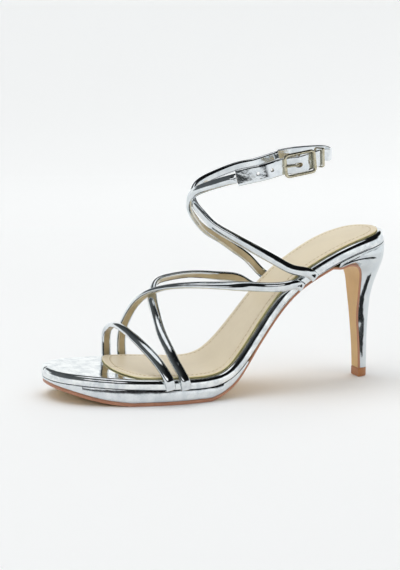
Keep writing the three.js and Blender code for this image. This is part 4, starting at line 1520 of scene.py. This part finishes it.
def billet_skin():
    """The sheet in whole cells, with a square of cells left out round each hole and refilled."""
    bar_row = np.argmin(np.abs(BILLET_REACH["reach"])) - len(BILLET_REACH["reach"])
    hole_runs = ankle_over_line.runs[bar_row] + HOLE_OFFSET + HOLE_PITCH * np.array(HOLE_PLACES)
    first = hole_runs[0] - int((hole_runs[0] - billet_from) / CELL) * CELL
    count = int((ankle_over_line.end - first) / CELL) + 1
    runs = first + CELL * np.arange(count)
    runs[-1] = ankle_over_line.end
    section = flat_section(BILLET_WIDTH, FLAT_THICK, BILLET_ROWS)
    size = len(section)
    skin = Skin([foil_flat, lining_tan])
    sheet = np.reshape(skin.add(on_billet(runs[:, None], *section.T)), (count, size))

    middle, below_from = BILLET_ROWS // 2, BILLET_ROWS + ROUND_STEPS
    holes = []
    for number, run in zip(HOLE_PLACES, hole_runs):
        patch, radii = (2, (HOLE_RADIUS, HOLE_RADIUS)) if number else (3, USED_HOLE)
        holes.append((int(round((run - first) / CELL)), patch, radii, run))
    for i in range(count - 1):
        for j in range(size):
            below = below_from <= j < below_from + BILLET_ROWS - 1
            row = j - below_from if below else j
            cut = any(
                index - patch <= i < index + patch and middle - patch <= row < middle + patch
                for index, patch, *_ in holes
            )
            if not cut:
                k = (j + 1) % size
                skin.face((sheet[i, j], sheet[i + 1, j], sheet[i + 1, k], sheet[i, k]), below)
    skin.ladder(sheet[0], 0)
    skin.ladder(sheet[-1], 0)

    row_scale = np.array([1, 2 * section[0, 0] / (BILLET_ROWS - 1) / CELL])
    for index, patch, radii, run in holes:
        square, ovals = hole_patch(*radii, patch)
        along, across = square.T
        lips = []
        for finish, out, column in (
            (0, FLAT_THICK / 2, middle - across),
            (1, -FLAT_THICK / 2, below_from + middle + across),
        ):
            rings = []
            for oval in ovals:
                spots = oval * row_scale if rings else oval
                sunk = 0 if rings else np.sign(out) * HOLE_LIP
                rings.append(skin.add(on_billet(run + spots[:, 0], spots[:, 1], out - sunk)))
            rings.append(sheet[index + along, column])
            for inner, outer in zip(rings, rings[1:]):
                skin.bridge(inner, outer, finish)
            lips.append(rings[0])
        skin.bridge(*lips, 1)
    return skin


billet_skin().build("billet_punched", "billet", "mirror_foil", sharp=50)

# %% [markdown]
# The buckle is cast in one: a round-edged rectangle with a bar across its middle. The band holds
# the bar, the prong turns on it and comes up through the billet. It stays fastened.

# %% Buckle frame
def wire_ring(centre, side, out, wide, thick, count=20):
    """A ring of a wire with a softly squared section."""
    angle = np.linspace(0, 2 * np.pi, count, endpoint=False)[:, None]
    cosine, sine = np.cos(angle), np.sin(angle)
    a = np.sign(cosine) * np.abs(cosine) ** 0.8
    b = np.sign(sine) * np.abs(sine) ** 0.8
    return centre + wide / 2 * a * side + thick / 2 * b * out


def rounded_loop(half_a, half_b, corner, count):
    """Round a rectangle with round corners: both coordinates and the angle of its outer side."""
    spots = []
    for quarter in range(4):
        sign_a, sign_b = (1, -1, -1, 1)[quarter], (1, 1, -1, -1)[quarter]
        for angle in np.pi / 2 * np.linspace(quarter, quarter + 1, count):
            a = sign_a * (half_a - corner) + corner * np.cos(angle)
            b = sign_b * (half_b - corner) + corner * np.sin(angle)
            spots.append((a, b, angle))
    return spots


half_frame = BILLET_WIDTH / 2 + BUCKLE_ALLOWANCE + WIRE_RADIUS
buckle = Skin([plated])
frame_rings = []
for reach, up_spot, angle in rounded_loop(BUCKLE_REACH, half_frame, FRAME_CORNER, 12):
    side = np.cos(angle) * buckle_heading + np.sin(angle) * buckle_up
    centre = at_buckle(reach, 0.0, up_spot)
    frame_rings.append(wire_ring(centre, side, buckle_out, 2 * WIRE_RADIUS, 2 * WIRE_RADIUS))
buckle.loft(frame_rings, loop=True)
BAR_SIZE = (2 * BAR_RADIUS, 2 * BAR_RADIUS)
bar_rings = [
    wire_ring(
        at_buckle(0.0, out, sign * (half_frame - inset)), buckle_heading, buckle_out, *BAR_SIZE
    )
    for sign, inset, out in (
        (-1, 0.0, -0.3),
        (-1, 1.2, -0.5),
        (-1, 2.0, BAR_OUT),
        (1, 2.0, BAR_OUT),
        (1, 1.2, -0.5),
        (1, 0.0, -0.3),
    )
]
buckle.loft(bar_rings)
buckle.build("buckle_frame_cast", "buckle_frame", "buckle_metal")

# %% Buckle prong
PRONG_REST = WIRE_RADIUS + SEAM + PRONG_RADIUS
prong_line = Line([
    at_buckle(reach, out)
    for reach, out in (
        (-1.0, -0.3),
        (-1.9, 1.2),
        (-2.9, 2.8),
        (-4.6, 3.1),
        (-6.8, 2.5),
        (-BUCKLE_REACH, PRONG_REST),
        (-BUCKLE_REACH - WIRE_RADIUS, PRONG_REST - 0.1),
    )
])
prong = Skin([plated])
prong_rings = []
for run in np.linspace(0, prong_line.end, 60):
    heading = prong_line.heading(run)
    out = np.cross(heading, buckle_up)
    left = prong_line.end - run
    blunt = 0.45 + 0.55 * np.sqrt(np.clip(left / 0.7, 0, 1))
    size = 2 * PRONG_RADIUS * blunt
    prong_rings.append(wire_ring(prong_line.at(run), buckle_up, out, size, size))
prong.loft(prong_rings)
eye_rings = []
for angle in np.linspace(0, 2 * np.pi, 36, endpoint=False):
    outward = np.cos(angle) * buckle_heading + np.sin(angle) * buckle_out
    middle = at_buckle(0.0, BAR_OUT) + (BAR_RADIUS + GAP + 0.35) * outward
    eye_rings.append(wire_ring(middle, buckle_up, outward, 2 * PRONG_RADIUS, 0.7, 14))
prong.loft(eye_rings, loop=True)
prong.build("buckle_prong_wire", "buckle_prong", "buckle_metal")

# %% [markdown]
# Behind the buckle a flat metal loop keeps the free end of the billet against the band. It is a
# strip bent round, so its path is a rounded rectangle across the strap.

# %% Keeper loop
def out_at(table, reach):
    """How far out a strap lies where it passes this reach of its table."""
    return table["out"][table["reach"] == reach][0]


keeper_billet = at_buckle(KEEPER_REACH, out_at(BILLET_REACH, KEEPER_REACH))
keeper_band = at_buckle(KEEPER_REACH, out_at(BAND_REACH, KEEPER_REACH))
keeper_middle = mix(keeper_billet, keeper_band, 0.5)
keeper_heading = ankle_over_line.heading(ankle_over_line.runs[-2])
keeper_out = square_to(keeper_heading, round_leg(keeper_middle[None])[0])
keeper_up = np.cross(keeper_out, keeper_heading)
keeper_inside = (keeper_billet - keeper_band) @ keeper_out + FLAT_THICK
keeper_half_out = keeper_inside / 2 + 1.5 * GAP + KEEPER_THICK / 2
keeper_half_up = BILLET_WIDTH / 2 + BUCKLE_ALLOWANCE + KEEPER_THICK / 2
keeper = Skin([plated])
keeper_rings = []
for up_spot, out, angle in rounded_loop(keeper_half_up, keeper_half_out, KEEPER_CORNER, 8):
    outward = np.cos(angle) * keeper_up + np.sin(angle) * keeper_out
    centre = keeper_middle + up_spot * keeper_up + out * keeper_out
    keeper_rings.append(wire_ring(centre, keeper_heading, outward, KEEPER_WIDTH, KEEPER_THICK))
keeper.loft(keeper_rings, loop=True)
keeper.build("keeper_loop_strip", "keeper_loop", "buckle_metal")
